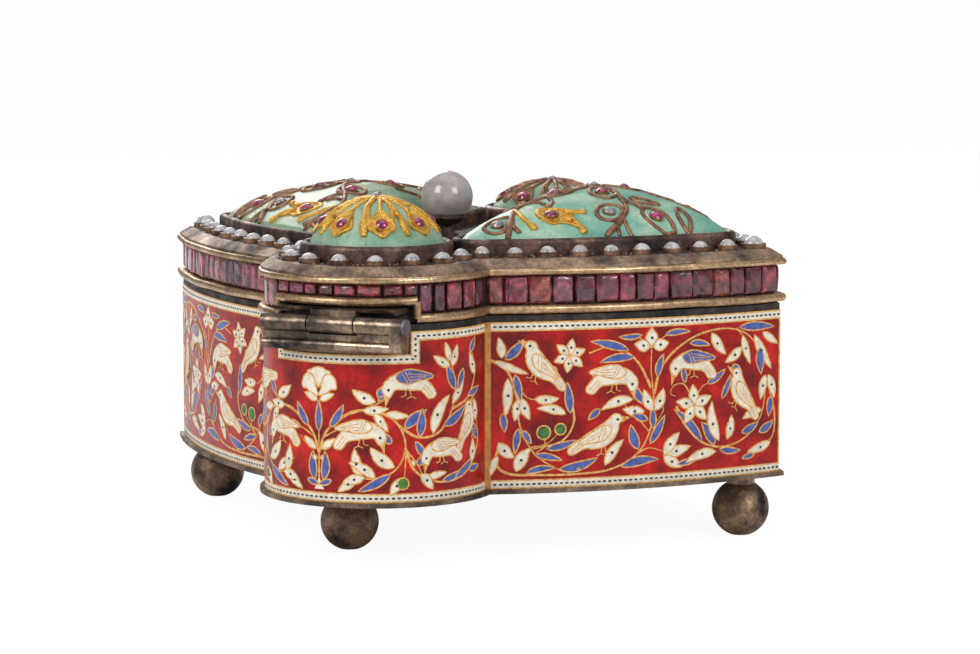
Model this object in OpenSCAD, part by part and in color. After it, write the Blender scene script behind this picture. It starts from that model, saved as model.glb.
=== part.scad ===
/* [Plan] */
// Half the length of the walls, from the middle to a side corner
corner_x = 71.5; // [66:0.5:78]
// Where the curved sides would meet on the short axis
tip_y = 56; // [53:0.5:59]
// Radius of the curved sides
side_r = 128; // [115:1:145]
// From the middle of the box to the middle of each round lobe
lobe_y = 48.5; // [46.5:0.5:51]
// Radius of each round lobe
lobe_r = 23.5; // [22:0.5:25]

/* [Body] */
// Height of the underside above the ground
foot_h = 13.2; // [12.5:0.1:18]
// Thickness of the base plate
plate_t = 0.9; // [0.6:0.1:1.5]
// How far the base plate stands out from the walls
plate_out = 1; // [0.4:0.1:2]
// Height of the body wall over the base plate
wall_h = 36; // [28:0.2:45]
// Thickness of the metal wall
wall_t = 1.2; // [0.8:0.1:2]
// Thickness of the enamel panels
panel_t = 0.8; // [0.5:0.1:1.2]
// Height of the bare metal strip round the mouth
strip_h = 1.4; // [1.2:0.1:3]
// How far the metal strip lies behind the face of the enamel
strip_in = 0.15; // [0.1:0.05:0.3]

/* [Feet] */
// Radius of a ball foot
ball_r = 6.1; // [5:0.1:6.2]
// Height of the ball's middle above the ground, less than its radius so that it stands flat
ball_z = 5.7; // [4.6:0.1:5.8]
// Radius of the neck between ball and base plate
neck_r = 3; // [2:0.1:4]
// From a side corner in to the middle of the foot under it
side_foot_in = 8.5; // [7.5:0.5:15]
// From the front of a lobe in to the middle of the foot under it
lobe_foot_in = 24.4; // [20:0.2:30]
// How far the front foot stands to the left of the lobe's middle
lobe_foot_x = 7; // [0:0.5:9]

/* [Lid edge] */
// Gap between body and lid
lid_gap = 0.3; // [0.2:0.05:0.5]
// Height of the lid's upright side
lid_h = 9.3; // [8:0.1:12]
// Thickness of the lid's wall
lid_wall_t = 1.2; // [0.8:0.1:1.6]
// Radius of the lower bead
low_bead_r = 0.9; // [0.6:0.05:1.1]
// Radius of the upper bead
top_bead_r = 0.7; // [0.5:0.05:0.9]
// How far the beads stand out from the face of the enamel
bead_out = 1.2; // [0.9:0.1:1.6]
// Height of the sloping ledge over the upper bead
ledge_h = 1.9; // [1.4:0.1:2.5]
// Width of the sloping ledge
ledge_w = 2.5; // [1.8:0.1:2.9]
// Thickness of the lid plate
top_t = 1.2; // [0.8:0.1:1.4]

/* [Garnets] */
// Stones on each curved side
side_garnets = 13; // [10:1:16]
// Stones on each lobe
lobe_garnets = 17; // [14:1:20]
// Thickness of a garnet
garnet_t = 1.1; // [0.8:0.1:1.3]
// Gap between neighbouring garnets
garnet_gap = 0.35; // [0.2:0.05:0.8]
// Bevel round the face of a garnet
garnet_bevel = 0.5; // [0.3:0.05:0.6]

/* [Pearls] */
// Radius of a half pearl
pearl_r = 1.85; // [1.5:0.05:1.9]
// Radius of the large pearl at each side corner
corner_pearl_r = 2.4; // [2:0.05:2.5]
// From the face of the enamel in to the middle of the pearls
pearl_in = 5.2; // [5:0.1:5.4]
// Pearls on each curved side
side_pearls = 9; // [7:1:10]
// Pearls on each lobe
lobe_pearls = 9; // [7:1:9]
// Wall of a pearl cup
cup_wall = 0.3; // [0.2:0.05:0.35]
// Height of a pearl cup
cup_h = 1; // [0.7:0.1:1.3]

/* [Domes] */
// Gap between the pearl cups and the bezels of the domes
bezel_gap = 0.35; // [0.25:0.05:1.5]
// From the middle of the box to the straight edge of a wing dome
wing_x = 11; // [9:0.5:14]
// Radius of the wing domes' rounded corners
wing_r = 6; // [5:0.5:7]
// Width of a bezel
bezel_w = 1.8; // [1.4:0.1:2]
// Height of a bezel
bezel_h = 3.4; // [2.2:0.1:3.8]
// Height of the right dome above its edge
right_rise = 9.2; // [7:0.1:11]
// Height of the left dome above its edge
left_rise = 8.4; // [7:0.1:11]
// Height of the front dome above its edge
front_rise = 9.4; // [7:0.1:11]
// Height of the back dome above its edge, lower than the others
back_rise = 6.4; // [5:0.1:11]
// From the middle of the box to the top of a wing dome
apex_x = 29; // [26:0.5:33]
// Radius that rounds a wing dome's level lines near its top
wing_round = 23; // [16:1:26]
// Radius of a ruby's setting
ruby_set_r = 1.6; // [1.2:0.05:1.8]
// Radius of a diamond's setting
diamond_set_r = 1.45; // [1.1:0.05:1.8]
// How far a setting stands out of its dome
set_h = 0.4; // [0.3:0.05:0.6]
// Height of a cut stone over its setting
gem_h = 0.6; // [0.4:0.05:0.9]

/* [Knob] */
// Radius of the knob's pearl
knob_r = 5.7; // [5:0.1:6]
// Height of the pearl's middle above the lid plate
knob_z = 8.7; // [8.5:0.1:11]
// How far the knob stands to the left of the middle
knob_x = 5.5; // [0:0.5:6]
// Radius of the dish under the pearl
dish_r = 4.6; // [4:0.1:5]
// Thickness of the dish
dish_t = 0.7; // [0.5:0.1:1]
// Radius of the pin inside the pearl
knob_pin_r = 0.6; // [0.4:0.05:0.8]

/* [Hinge] */
// Length of the hinge
hinge_len = 31; // [27:0.5:32]
// How far the middle of the hinge lies to the right of the lobe's middle
hinge_x = 2; // [0:0.5:2.5]
// From the face of the lobe out to the hinge axis
hinge_out = 2; // [1.9:0.05:2.4]
// Radius of the knuckles
knuckle_r = 1.8; // [1.5:0.05:1.8]
// Radius of the hinge pin
pin_r = 0.8; // [0.6:0.05:1]
// Running clearance round the pin
pin_clear = 0.05; // [0.03:0.01:0.08]
// Gap between neighbouring knuckles
knuckle_gap = 0.3; // [0.2:0.05:0.4]
// Radius of the round head on the pin's end
pin_head_r = 1.65; // [1.3:0.05:1.7]
// Height of the body's hinge leaf under the knuckles
leaf_h = 3.3; // [2.8:0.1:4]
// Height of the lid's hinge leaf over the axis
lid_leaf_h = 3.2; // [2.9:0.1:4.6]

/* [Thumb piece] */
// Width of the thumb piece
thumb_w = 9; // [6:0.5:12]
// Thickness of the thumb piece
thumb_t = 1.4; // [1:0.1:1.7]

/* [Hidden] */
$fn = 96;
FINE = 360;                          // segments of the large circles
FAR = 120;                           // reaches past the whole box
SNUG = 0.03;                         // gap between a set stone and its seat
MITRE_GAP = 0.05;                    // step between the lengths that meet at an inner corner

// Levels above the ground
wall_z = foot_h + plate_t;
mouth_z = wall_z + wall_h;
panel_top = mouth_z - strip_h;
lid_z = mouth_z + lid_gap;
cornice_z = lid_z + lid_h;
top_z = cornice_z + ledge_h;
low_bead_h = 2 * low_bead_r;
top_bead_h = 2 * top_bead_r;

// From the face of the enamel in to the bezels, past the ring of pearls
bezel_in = pearl_in + pearl_r + cup_wall + bezel_gap;
lobe_bezel_r = lobe_r - bezel_in;

// Middle of the circle that the back right side lies on
half_chord = norm([corner_x, tip_y]) / 2;
chord_drop = sqrt(side_r * side_r - half_chord * half_chord);
side_c = [corner_x, tip_y] / 2 - chord_drop * [tip_y, corner_x] / (2 * half_chord);

// Where a lobe's circle crosses a side's circle, both drawn in by a given inset
function crossing(r1, r2, d) = (r1 * r1 - r2 * r2 + d * d) / (2 * d);
function inner_corner(inset) =
    let (r1 = lobe_r - inset, r2 = side_r - inset,
         gap = side_c - [0, lobe_y], d = norm(gap), a = crossing(r1, r2, d),
         h = sqrt(r1 * r1 - a * a), u = gap / d)
    [0, lobe_y] + a * u + h * [-u[1], u[0]];

// Angles at which a side and a lobe begin and end, at a given inset
function tip_angle(inset) = asin(-side_c[1] / (side_r - inset));
function side_end(inset) = let (p = inner_corner(inset) - side_c) atan2(p[1], p[0]);
function lobe_start(inset) = let (p = inner_corner(inset) - [0, lobe_y]) atan2(p[1], p[0]);

// The line on which mouldings are mitred at an inner corner
mitre_out = inner_corner(-bead_out);
mitre_in = inner_corner(pearl_in);
mitre_dir = (mitre_out - mitre_in) / norm(mitre_out - mitre_in);
mitre_y = mitre_in[1] - mitre_in[0] * mitre_dir[1] / mitre_dir[0];
mitre_far = [0, mitre_y] + FAR * mitre_dir;

// Plan of the box, drawn in by an inset
module outline(inset = 0) {
    intersection() {
        translate([side_c[0], side_c[1]]) circle(side_r - inset, $fn = FINE);
        translate([-side_c[0], side_c[1]]) circle(side_r - inset, $fn = FINE);
        translate([side_c[0], -side_c[1]]) circle(side_r - inset, $fn = FINE);
        translate([-side_c[0], -side_c[1]]) circle(side_r - inset, $fn = FINE);
    }
    for (s = [-1, 1]) translate([0, s * lobe_y]) circle(lobe_r - inset);
}

// A band of the plan between two insets
module band(outer, inner, z, h) {
    translate([0, 0, z]) linear_extrude(h) difference() { outline(outer); outline(inner); }
}

// Wedges of the plan that hold the back right side and the back lobe
module side_wedge() {
    linear_extrude(FAR) polygon([[0, 0], [FAR, 0], mitre_far, [0, mitre_y]]);
}
module lobe_wedge() {
    linear_extrude(FAR) translate([0, MITRE_GAP])
        polygon([[0, mitre_y], mitre_far, [-mitre_far[0], mitre_far[1]]]);
}

// Mirrors a back right piece to the quarter with the given signs
module quarter(sx, sy) {
    mirror([sx < 0 ? 1 : 0, 0, 0]) mirror([0, sy < 0 ? 1 : 0, 0]) children();
}

// Sweeps a profile, drawn as inset and height, along the back right side
module side_run() {
    margin = 4;
    start = tip_angle(0) - margin;
    intersection() {
        translate([side_c[0], side_c[1], 0]) rotate(start)
            rotate_extrude(angle = side_end(0) + margin - start, $fn = FINE)
                translate([side_r, 0]) mirror([1, 0]) children();
        side_wedge();
    }
}

// Sweeps the same profile round the back lobe
module lobe_run() {
    margin = 16;
    start = lobe_start(0) - margin;
    intersection() {
        translate([0, lobe_y, 0]) rotate(start)
            rotate_extrude(angle = 180 - 2 * start)
                translate([lobe_r, 0]) mirror([1, 0]) children();
        lobe_wedge();
    }
}

// Sweeps a profile round the whole box
module full_run() {
    for (sx = [-1, 1], sy = [-1, 1]) quarter(sx, sy) side_run() children();
    for (sy = [-1, 1]) quarter(1, sy) lobe_run() children();
}

// Body

module base_plate() {
    color([0.43, 0.35, 0.27])
        translate([0, 0, foot_h]) linear_extrude(plate_t) outline(-plate_out);
}

module body_wall() {
    color([0.5, 0.42, 0.33]) band(panel_t, panel_t + wall_t, wall_z, wall_h);
}

module mouth_strip() {
    color([0.36, 0.33, 0.31]) band(strip_in, panel_t, panel_top, strip_h);
}

// The hinge leaf, and the hole in the front enamel round it
barrel_gap = 0.3;                    // gap between the knuckles and the leaf under them
hole_in = 1.95;                      // from the hinge's ends in to the ends of the hole
hole_under = 0.9;                    // from the leaf down to the lower edge of the hole
hole_l = hinge_x - hinge_len / 2 + hole_in;
hole_r = hinge_x + hinge_len / 2 - hole_in;
hinge_y = lobe_y + lobe_r + hinge_out;
hinge_z = lid_z;
leaf_top = hinge_z - knuckle_r - barrel_gap;
leaf_z = leaf_top - leaf_h;
hole_z = leaf_z - hole_under;

module enamel_side(sx, sy) {
    color([0.62, 0.12, 0.1]) quarter(sx, sy) intersection() {
        band(0, panel_t, wall_z, panel_top - wall_z);
        side_wedge();
    }
}
module enamel_lobe(sy) {
    quarter(1, sy) intersection() {
        band(0, panel_t, wall_z, panel_top - wall_z);
        lobe_wedge();
    }
}
module enamel_front_right() { enamel_side(1, -1); }
module enamel_front_left() { enamel_side(-1, -1); }
module enamel_back_right() { enamel_side(1, 1); }
module enamel_back_left() { enamel_side(-1, 1); }
module enamel_back() { color([0.62, 0.12, 0.1]) enamel_lobe(1); }
module enamel_front() {
    color([0.62, 0.12, 0.1]) difference() {
        enamel_lobe(-1);
        translate([hole_l, -hinge_y, hole_z]) cube([hole_r - hole_l, hinge_y / 2, mouth_z - hole_z]);
    }
}

side_foot_x = corner_x - side_foot_in;
lobe_foot_y = lobe_y + lobe_r - lobe_foot_in;

// Ball foot with a flat bottom and a neck up to the base plate
module foot(x, y) {
    color([0.45, 0.33, 0.22]) translate([x, y, 0]) {
        intersection() {
            translate([0, 0, ball_z]) sphere(ball_r);
            cylinder(r = ball_r + 1, h = foot_h);
        }
        translate([0, 0, ball_z]) cylinder(r = neck_r, h = foot_h - ball_z);
    }
}
module foot_front() { foot(-lobe_foot_x, -lobe_foot_y); }
module foot_back() { foot(lobe_foot_x, lobe_foot_y); }
module foot_right() { foot(side_foot_x, 0); }
module foot_left() { foot(-side_foot_x, 0); }

// Hinge

hinge_start = hinge_x - hinge_len / 2;
knuckle_len = hinge_len / 3;
bore_r = pin_r + pin_clear;
leaf_front = 1.2;                    // front of the leaf's moulding, out from the axis
leaf_back = hinge_out - 0.3;         // back of the leaf, in from the axis
groove_front = 0.1;                  // face of the groove, in from the axis
lip_r = 1.15;                        // radius of the leaf's rounded lower edge
web_h = 1.6;                         // height of the webs that carry the outer knuckles
web_sink = 0.5;                      // how far they reach down into the leaf
end_len = 2.6;                       // length of the bracket that carries the pin's head
end_out = 0.1;                       // how far the bracket stands out over the moulding
head_t = 0.8;                        // thickness of the pin's head

// Bar along X with a profile drawn as inward depth and height from the hinge axis
module hinge_bar(start, len) {
    translate([start, -hinge_y, hinge_z]) rotate([90, 0, 90]) linear_extrude(len) children();
}
module knuckle(k, start_gap, end_gap) {
    hinge_bar(hinge_start + k * knuckle_len + start_gap, knuckle_len - start_gap - end_gap)
        circle(knuckle_r, $fn = 64);
}
// Web that joins an outer knuckle to the leaf under it
module knuckle_web(k, start_gap, end_gap) {
    hinge_bar(hinge_start + k * knuckle_len + start_gap, knuckle_len - start_gap - end_gap)
        translate([groove_front, leaf_top - hinge_z - web_sink]) square([leaf_back - groove_front, web_h]);
}

module hinge_body_leaf() {
    half_gap = knuckle_gap / 2;
    block_in = 1;
    overlap = 0.2;
    color([0.42, 0.36, 0.3]) difference() {
        union() {
            hinge_bar(hinge_start, hinge_len)
                translate([groove_front, leaf_z - hinge_z]) square([leaf_back - groove_front, leaf_h]);
            hinge_bar(hinge_start, hinge_len) {
                translate([lip_r - leaf_front, leaf_z - hinge_z + lip_r]) circle(lip_r, $fn = 48);
                translate([0, leaf_z - hinge_z]) square([leaf_back, 2 * lip_r]);
            }
            knuckle(0, 0, half_gap);
            knuckle(2, half_gap, 0);
            knuckle_web(0, 0, half_gap);
            knuckle_web(2, half_gap, 0);
            hinge_bar(hinge_start + hinge_len - end_len, end_len)
                translate([-leaf_front - end_out, leaf_z - hinge_z + lip_r])
                    square([leaf_front + leaf_back + end_out, hinge_z - leaf_z - lip_r]);
            // block that fills the space between the straight leaf and the curved wall
            difference() {
                translate([hole_l + block_in, -hinge_y + leaf_back - overlap, leaf_z])
                    cube([hole_r - hole_l - 2 * block_in, lobe_r / 2, leaf_h - block_in]);
                translate([0, 0, hole_z]) linear_extrude(FAR) outline(panel_t);
            }
        }
        translate([hinge_start - 1, -hinge_y, hinge_z]) rotate([0, 90, 0])
            cylinder(r = bore_r, h = hinge_len + 2, $fn = 48);
    }
}

module hinge_pin() {
    color([0.4, 0.4, 0.42]) translate([hinge_start, -hinge_y, hinge_z]) rotate([0, 90, 0]) {
        cylinder(r = pin_r, h = hinge_len + head_t, $fn = 48);
        translate([0, 0, hinge_len + pin_clear]) cylinder(r = pin_head_r, h = head_t - pin_clear, $fn = 48);
    }
}

// The notch over the hinge, where the lower bead steps up
notch_out = 1;                       // from the ends of the hole out to the middles of the notch's posts
notch_l = hole_l - notch_out;
notch_r = hole_r + notch_out;
notch_rise = lid_leaf_h + barrel_gap;
post_gap = 1.3;                      // from the middle of a post to the end of the lid's leaf

module hinge_lid_leaf() {
    face = 0.2;
    cove = 0.4;
    low = knuckle_r + barrel_gap + 0.05;
    color([0.3, 0.27, 0.25]) difference() {
        union() {
            knuckle(1, knuckle_gap / 2, knuckle_gap / 2);
            // web from the middle knuckle up to the leaf
            hinge_bar(hinge_start + knuckle_len + knuckle_gap / 2, knuckle_len - knuckle_gap)
                square([knuckle_r, lid_leaf_h - barrel_gap]);
            // leaf over the knuckles, shaped to the lid's wall behind it
            difference() {
                hinge_bar(notch_l + post_gap, notch_r - notch_l - 2 * post_gap)
                    polygon([[face, lid_leaf_h], [face + cove, low + cove], [face + 3 * cove, low],
                             [lobe_r / 2, low], [lobe_r / 2, lid_leaf_h]]);
                linear_extrude(FAR) outline(bead_out);
            }
        }
        translate([hinge_start, -hinge_y, hinge_z]) rotate([0, 90, 0])
            cylinder(r = bore_r, h = hinge_len, $fn = 48);
    }
}

// Lid

module lid_wall() {
    color([0.42, 0.36, 0.3]) band(bead_out, bead_out + lid_wall_t, lid_z, lid_h);
}

// Profile of a bead with the shelf that joins it to the lid's wall
module bead_profile(r) {
    shelf_h = 1.6 * r;
    translate([r - bead_out, r]) circle(r, $fn = 48);
    translate([r - bead_out, r - shelf_h / 2]) square([2 * bead_out - r, shelf_h]);
}

// The front lobe's bead between two places along X
module front_bead_piece(x0, x1) {
    intersection() {
        quarter(1, -1) lobe_run() translate([0, lid_z]) bead_profile(low_bead_r);
        translate([x0, -hinge_y - 1, lid_z - 1]) cube([x1 - x0, lobe_r, low_bead_h + 2]);
    }
}
// Upright bead at an end of the notch, a little slimmer than the bead that it joins
module notch_post(x) {
    run_r = lobe_r + bead_out - low_bead_r;
    translate([x, -lobe_y - sqrt(run_r * run_r - x * x), lid_z + low_bead_r])
        cylinder(r = low_bead_r - 0.05, h = notch_rise, $fn = 48);
}
module lower_bead() {
    color([0.66, 0.52, 0.33]) {
        difference() {
            full_run() translate([0, lid_z]) bead_profile(low_bead_r);
            translate([notch_l, -hinge_y - 1, lid_z - 1]) cube([notch_r - notch_l, lobe_r, low_bead_h + 2]);
        }
        translate([0, 0, notch_rise]) front_bead_piece(notch_l, notch_r);
        notch_post(notch_l);
        notch_post(notch_r);
    }
}

module upper_bead() {
    color([0.66, 0.52, 0.33])
        full_run() translate([0, cornice_z - top_bead_h]) bead_profile(top_bead_r);
}

// Sloping ledge with a step under it that carries the lid plate
module ledge() {
    step = 1;
    lip = 0.5;
    nose = top_bead_r - bead_out;
    slope_end = ledge_w - 0.7;
    color([0.4, 0.33, 0.28]) full_run() translate([0, cornice_z])
        polygon([[nose, 0], [nose + lip / 5, lip], [slope_end, ledge_h], [ledge_w, ledge_h],
                 [ledge_w, ledge_h - top_t], [ledge_w + step, ledge_h - top_t], [ledge_w + step, 0]]);
}

module lid_plate() {
    color([0.25, 0.22, 0.2])
        translate([0, 0, top_z - top_t]) linear_extrude(top_t) outline(ledge_w);
}

// Garnets

garnet_play = 0.1;                   // gap between the stones and the beads
garnet_z = lid_z + low_bead_h + garnet_play;
garnet_h = lid_h - low_bead_h - top_bead_h - 2 * garnet_play;

// Table-cut stone, flat back on the XZ plane, facing -Y
module garnet(w, h) {
    b = garnet_bevel;
    t = garnet_t;
    intersection() {
        linear_extrude(h) polygon([[-w / 2, 0], [-w / 2, b - t], [b - w / 2, -t],
                                   [w / 2 - b, -t], [w / 2, b - t], [w / 2, 0]]);
        rotate([90, 0, 90]) linear_extrude(w, center = true)
            polygon([[0, 0], [b - t, 0], [-t, b], [-t, h - b], [b - t, h], [0, h]]);
    }
}

// Inset of the stones' faces, whose rows meet at the inner corners
garnet_face = bead_out - garnet_t;

// Row of stones on an arc of the lid's wall, all of one width
module garnet_row(centre, r, a0, a1, count, notched = false) {
    pitch = (a1 - a0) / count;
    w = 2 * r * sin(pitch / 2) - garnet_gap;
    for (k = [0 : count - 1]) {
        a = a0 + (k + 0.5) * pitch;
        x = centre[0] + r * cos(a);
        y = centre[1] + r * sin(a);
        cut = notched && y < 0 && x > notch_l - w / 2 && x < notch_r + w / 2;
        lift = cut ? notch_rise : 0;
        translate([x, y, garnet_z + lift]) rotate(a + 90) garnet(w, garnet_h - lift);
    }
}
module side_garnet_row(sx, sy) {
    color([0.45, 0.15, 0.2]) quarter(sx, sy)
        garnet_row(side_c, side_r - bead_out, tip_angle(bead_out), side_end(garnet_face), side_garnets);
}
module lobe_garnet_row(sy) {
    start = lobe_start(garnet_face);
    from = sy > 0 ? start : 180 + start;
    color([0.45, 0.15, 0.2])
        garnet_row([0, sy * lobe_y], lobe_r - bead_out, from, from + 180 - 2 * start, lobe_garnets, sy < 0);
}
module garnets_front() { lobe_garnet_row(-1); }
module garnets_back() { lobe_garnet_row(1); }
module garnets_front_right() { side_garnet_row(1, -1); }
module garnets_front_left() { side_garnet_row(-1, -1); }
module garnets_back_right() { side_garnet_row(1, 1); }
module garnets_back_left() { side_garnet_row(-1, 1); }

// Pearls

// Middles of the pearls in the back right quarter: those on the side, then half of those on the lobe
side_pearl_r = side_r - pearl_in;
side_pearl_pitch = (side_end(pearl_in) - tip_angle(pearl_in)) / (side_pearls + 0.5);
lobe_pearl_pitch = (180 - 2 * lobe_start(pearl_in)) / lobe_pearls;
side_pearl_places = [for (k = [1 : side_pearls])
    let (a = tip_angle(pearl_in) + k * side_pearl_pitch) side_c + side_pearl_r * [cos(a), sin(a)]];
lobe_pearl_places = [for (k = [0 : lobe_pearls - 1])
    let (a = lobe_start(pearl_in) + (k + 0.5) * lobe_pearl_pitch)
    [0, lobe_y] + (lobe_r - pearl_in) * [cos(a), sin(a)]];
corner_pearl_x = side_c[0] + sqrt(side_pearl_r * side_pearl_r - side_c[1] * side_c[1]);

// Puts its child at every pearl's place, with that pearl's radius in $r
module at_pearls() {
    for (sx = [-1, 1], sy = [-1, 1], p = side_pearl_places)
        translate([sx * p[0], sy * p[1], top_z]) let ($r = pearl_r) children();
    for (sy = [-1, 1], p = lobe_pearl_places)
        translate([p[0], sy * p[1], top_z]) let ($r = pearl_r) children();
    for (sx = [-1, 1])
        translate([sx * corner_pearl_x, 0, top_z]) let ($r = corner_pearl_r) children();
}
// Height of a half pearl's middle over the lid plate
function pearl_z(r) = 0.4 * r;

module pearls() {
    color([0.82, 0.81, 0.8]) at_pearls() intersection() {
        translate([0, 0, pearl_z($r)]) sphere($r, $fn = 32);
        translate([0, 0, SNUG]) cylinder(r = 2 * $r, h = 3 * $r);
    }
}
module pearl_cups() {
    seat_w = 0.3;
    color([0.5, 0.4, 0.32]) at_pearls() difference() {
        cylinder(r = $r + cup_wall, h = cup_h, $fn = 32);
        translate([0, 0, pearl_z($r)]) sphere($r + SNUG, $fn = 32);
        translate([0, 0, -1]) cylinder(r = $r - seat_w, h = cup_h + 2, $fn = 32);
    }
}

// Domes

// Rounded corners of the wing's outline: the one at the side corner, and the back one of the inner two
wing_side_r = side_r - bezel_in;
tip_c = [side_c[0] + sqrt(pow(wing_side_r - wing_r, 2) - side_c[1] * side_c[1]), 0];
near_x = wing_x + wing_r;
near_c = [near_x, side_c[1] + sqrt(pow(wing_side_r - wing_r, 2) - pow(near_x - side_c[0], 2))];
tip_turn = atan2(tip_c[1] - side_c[1], tip_c[0] - side_c[0]);
near_turn = atan2(near_c[1] - side_c[1], near_c[0] - side_c[0]);

// Sweeps a profile, drawn as inset and height, round the outline of the right wing
module wing_run() {
    translate(tip_c) rotate(-tip_turn) rotate_extrude(angle = 2 * tip_turn)
        translate([wing_r, 0]) mirror([1, 0]) children();
    for (sy = [-1, 1]) quarter(1, sy) {
        translate(side_c) rotate(tip_turn) rotate_extrude(angle = near_turn - tip_turn, $fn = FINE)
            translate([wing_side_r, 0]) mirror([1, 0]) children();
        translate(near_c) rotate(near_turn) rotate_extrude(angle = 180 - near_turn)
            translate([wing_r, 0]) mirror([1, 0]) children();
    }
    rotate([90, 0, 0]) linear_extrude(2 * near_c[1], center = true)
        translate([wing_x, 0]) children();
}

module bezel_profile() {
    crown = bezel_w / 2;
    translate([crown, bezel_h - crown]) circle(crown, $fn = 32);
    square([bezel_w, bezel_h - crown]);
}
module bezel_wing(sx) {
    color([0.4, 0.29, 0.25]) translate([0, 0, top_z]) quarter(sx, 1) wing_run() bezel_profile();
}
module bezel_lobe(sy) {
    color([0.4, 0.29, 0.25]) translate([0, sy * lobe_y, top_z])
        rotate_extrude() translate([lobe_bezel_r, 0]) mirror([1, 0]) bezel_profile();
}
module bezel_right() { bezel_wing(1); }
module bezel_left() { bezel_wing(-1); }
module bezel_front() { bezel_lobe(-1); }
module bezel_back() { bezel_lobe(1); }

// Stone inside the bezels: it fills them up to its edge, and rises from there
stone_gap = 0.1;                     // between a stone and its bezel
bezel_lip = 0.6;                     // how far a bezel stands over the edge of its stone
stone_in = bezel_w + stone_gap;
edge_h = bezel_h - bezel_lip;
edge_z = top_z + edge_h;
stone_r = wing_r - stone_in;
lobe_stone_r = lobe_bezel_r - stone_in;

// How far a dome has risen at a share r of the way from its top to its edge
function rise(r) = pow(max(0, 1 - r * r), 0.72);

// Points on an arc, without its last one
function arc(c, r, a0, a1, n) = [for (k = [0 : n - 1])
    let (a = a0 + (a1 - a0) * k / n) c + r * [cos(a), sin(a)]];
wing_points = concat(
    arc(tip_c, stone_r, -tip_turn, tip_turn, 8),
    arc(side_c, wing_side_r - stone_in, tip_turn, near_turn, 8),
    arc(near_c, stone_r, near_turn, 180, 4),
    [for (k = [0 : 3]) [near_c[0] - stone_r, near_c[1] * (1 - k / 2)]],
    arc([near_c[0], -near_c[1]], stone_r, 180, 360 - near_turn, 4),
    arc([side_c[0], -side_c[1]], wing_side_r - stone_in, -near_turn, -tip_turn, 8));
lobe_points = arc([0, 0], lobe_stone_r, 0, 360, 48);

// Level lines of a dome: a circle at the top that turns into the outline at the edge.
// How far the line at a share s lies from the top, where the outline lies at a distance reach
function level_r(s, reach, circle_r) = s * ((1 - s) * circle_r + s * reach);
// The share of a point, from 0 at the top to 1 at the edge
function reach_share(p, points, top) = max([for (k = [0 : len(points) - 1])
    let (a = points[k], b = points[(k + 1) % len(points)], n = [b[1] - a[1], a[0] - b[0]])
    (n * (p - top)) / (n * (a - top))]);
function share(p, points, top, circle_r) =
    let (d = max(norm(p - top), 0.001), reach = d / max(reach_share(p, points, top), 0.00001))
    2 * d / (circle_r + sqrt(circle_r * circle_r + 4 * (reach - circle_r) * d));
function dome_h(p, points, top, circle_r, h) = h * rise(share(p, points, top, circle_r));

// The right wing's stone, as rings that shrink towards its top
module wing_stone(h) {
    shares = [1, 1, 0.97, 0.9, 0.8, 0.65, 0.45, 0.22];
    n = len(wing_points);
    m = len(shares);
    top = [apex_x, 0];
    points = concat(
        [for (j = [0 : m - 1], p = wing_points)
            let (reach = norm(p - top), q = top + (p - top) * level_r(shares[j], reach, wing_round) / reach)
            [q[0], q[1], j == 0 ? 0 : edge_h + h * rise(shares[j])]],
        [[top[0], top[1], edge_h + h]]);
    rings = [for (j = [0 : m - 2], k = [0 : n - 1]) [j * n, (j + 1) * n, k, (k + 1) % n]];
    faces = concat(
        [[for (k = [0 : n - 1]) k]],
        [for (q = rings) [q[0] + q[2], q[1] + q[2], q[1] + q[3]]],
        [for (q = rings) [q[0] + q[2], q[1] + q[3], q[0] + q[3]]],
        [for (k = [0 : n - 1]) [(m - 1) * n + k, m * n, (m - 1) * n + (k + 1) % n]]);
    translate([0, 0, top_z]) polyhedron(points, faces);
}
module lobe_stone(h) {
    steps = 14;
    crown = [for (k = [0 : steps]) let (r = cos(90 * k / steps)) [lobe_stone_r * r, edge_h + h * rise(r)]];
    translate([0, 0, top_z]) rotate_extrude() polygon(concat([[0, 0], [lobe_stone_r, 0]], crown));
}
turquoise = [0.55, 0.72, 0.62];
module dome_right() { color(turquoise) wing_stone(right_rise); }
module dome_left() { color(turquoise) quarter(-1, 1) wing_stone(left_rise); }
module dome_front() { color(turquoise) translate([0, -lobe_y, 0]) lobe_stone(front_rise); }
module dome_back() { color(turquoise) translate([0, lobe_y, 0]) lobe_stone(back_rise); }

// Settings on the domes

// Places on the right wing, mirrored to its front half
wing_rubies = [[33.5, 6.5], [24, 10], [28.5, 23.2], [47, 9.8]];
wing_diamonds = [[38.5, 15.5], [20, 32.2]];
lobe_ruby_count = 8;
lobe_ruby_at = 11;                   // from the middle of a lobe's dome
lobe_ruby_turn = -15;

function both(list) = [for (p = list, s = [-1, 1]) [p[0], s * p[1]]];
wing_ruby_places = both(wing_rubies);
wing_diamond_places = concat([[apex_x, 0]], both(wing_diamonds));
lobe_ruby_places = [for (k = [0 : lobe_ruby_count - 1])
    let (a = lobe_ruby_turn + 360 * k / lobe_ruby_count) lobe_ruby_at * [cos(a), sin(a)]];
lobe_diamond_places = [[0, 0]];

// Puts its child on a dome's surface, upright along the slope
module on_dome(p, points, top, circle_r, h) {
    d = 0.1;
    function height(x, y) = dome_h(p + [x, y], points, top, circle_r, h);
    slope = [height(d, 0) - height(-d, 0), height(0, d) - height(0, -d)] / (2 * d);
    translate([p[0], p[1], edge_z + height(0, 0)])
        rotate([0, atan(norm(slope)), atan2(-slope[1], -slope[0])]) children();
}
module on_wing(places, h) {
    for (p = places) on_dome(p, wing_points, [apex_x, 0], wing_round, h) children();
}
module on_lobe(places, h) {
    for (p = places) on_dome(p, lobe_points, [0, 0], lobe_stone_r, h) children();
}

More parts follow.
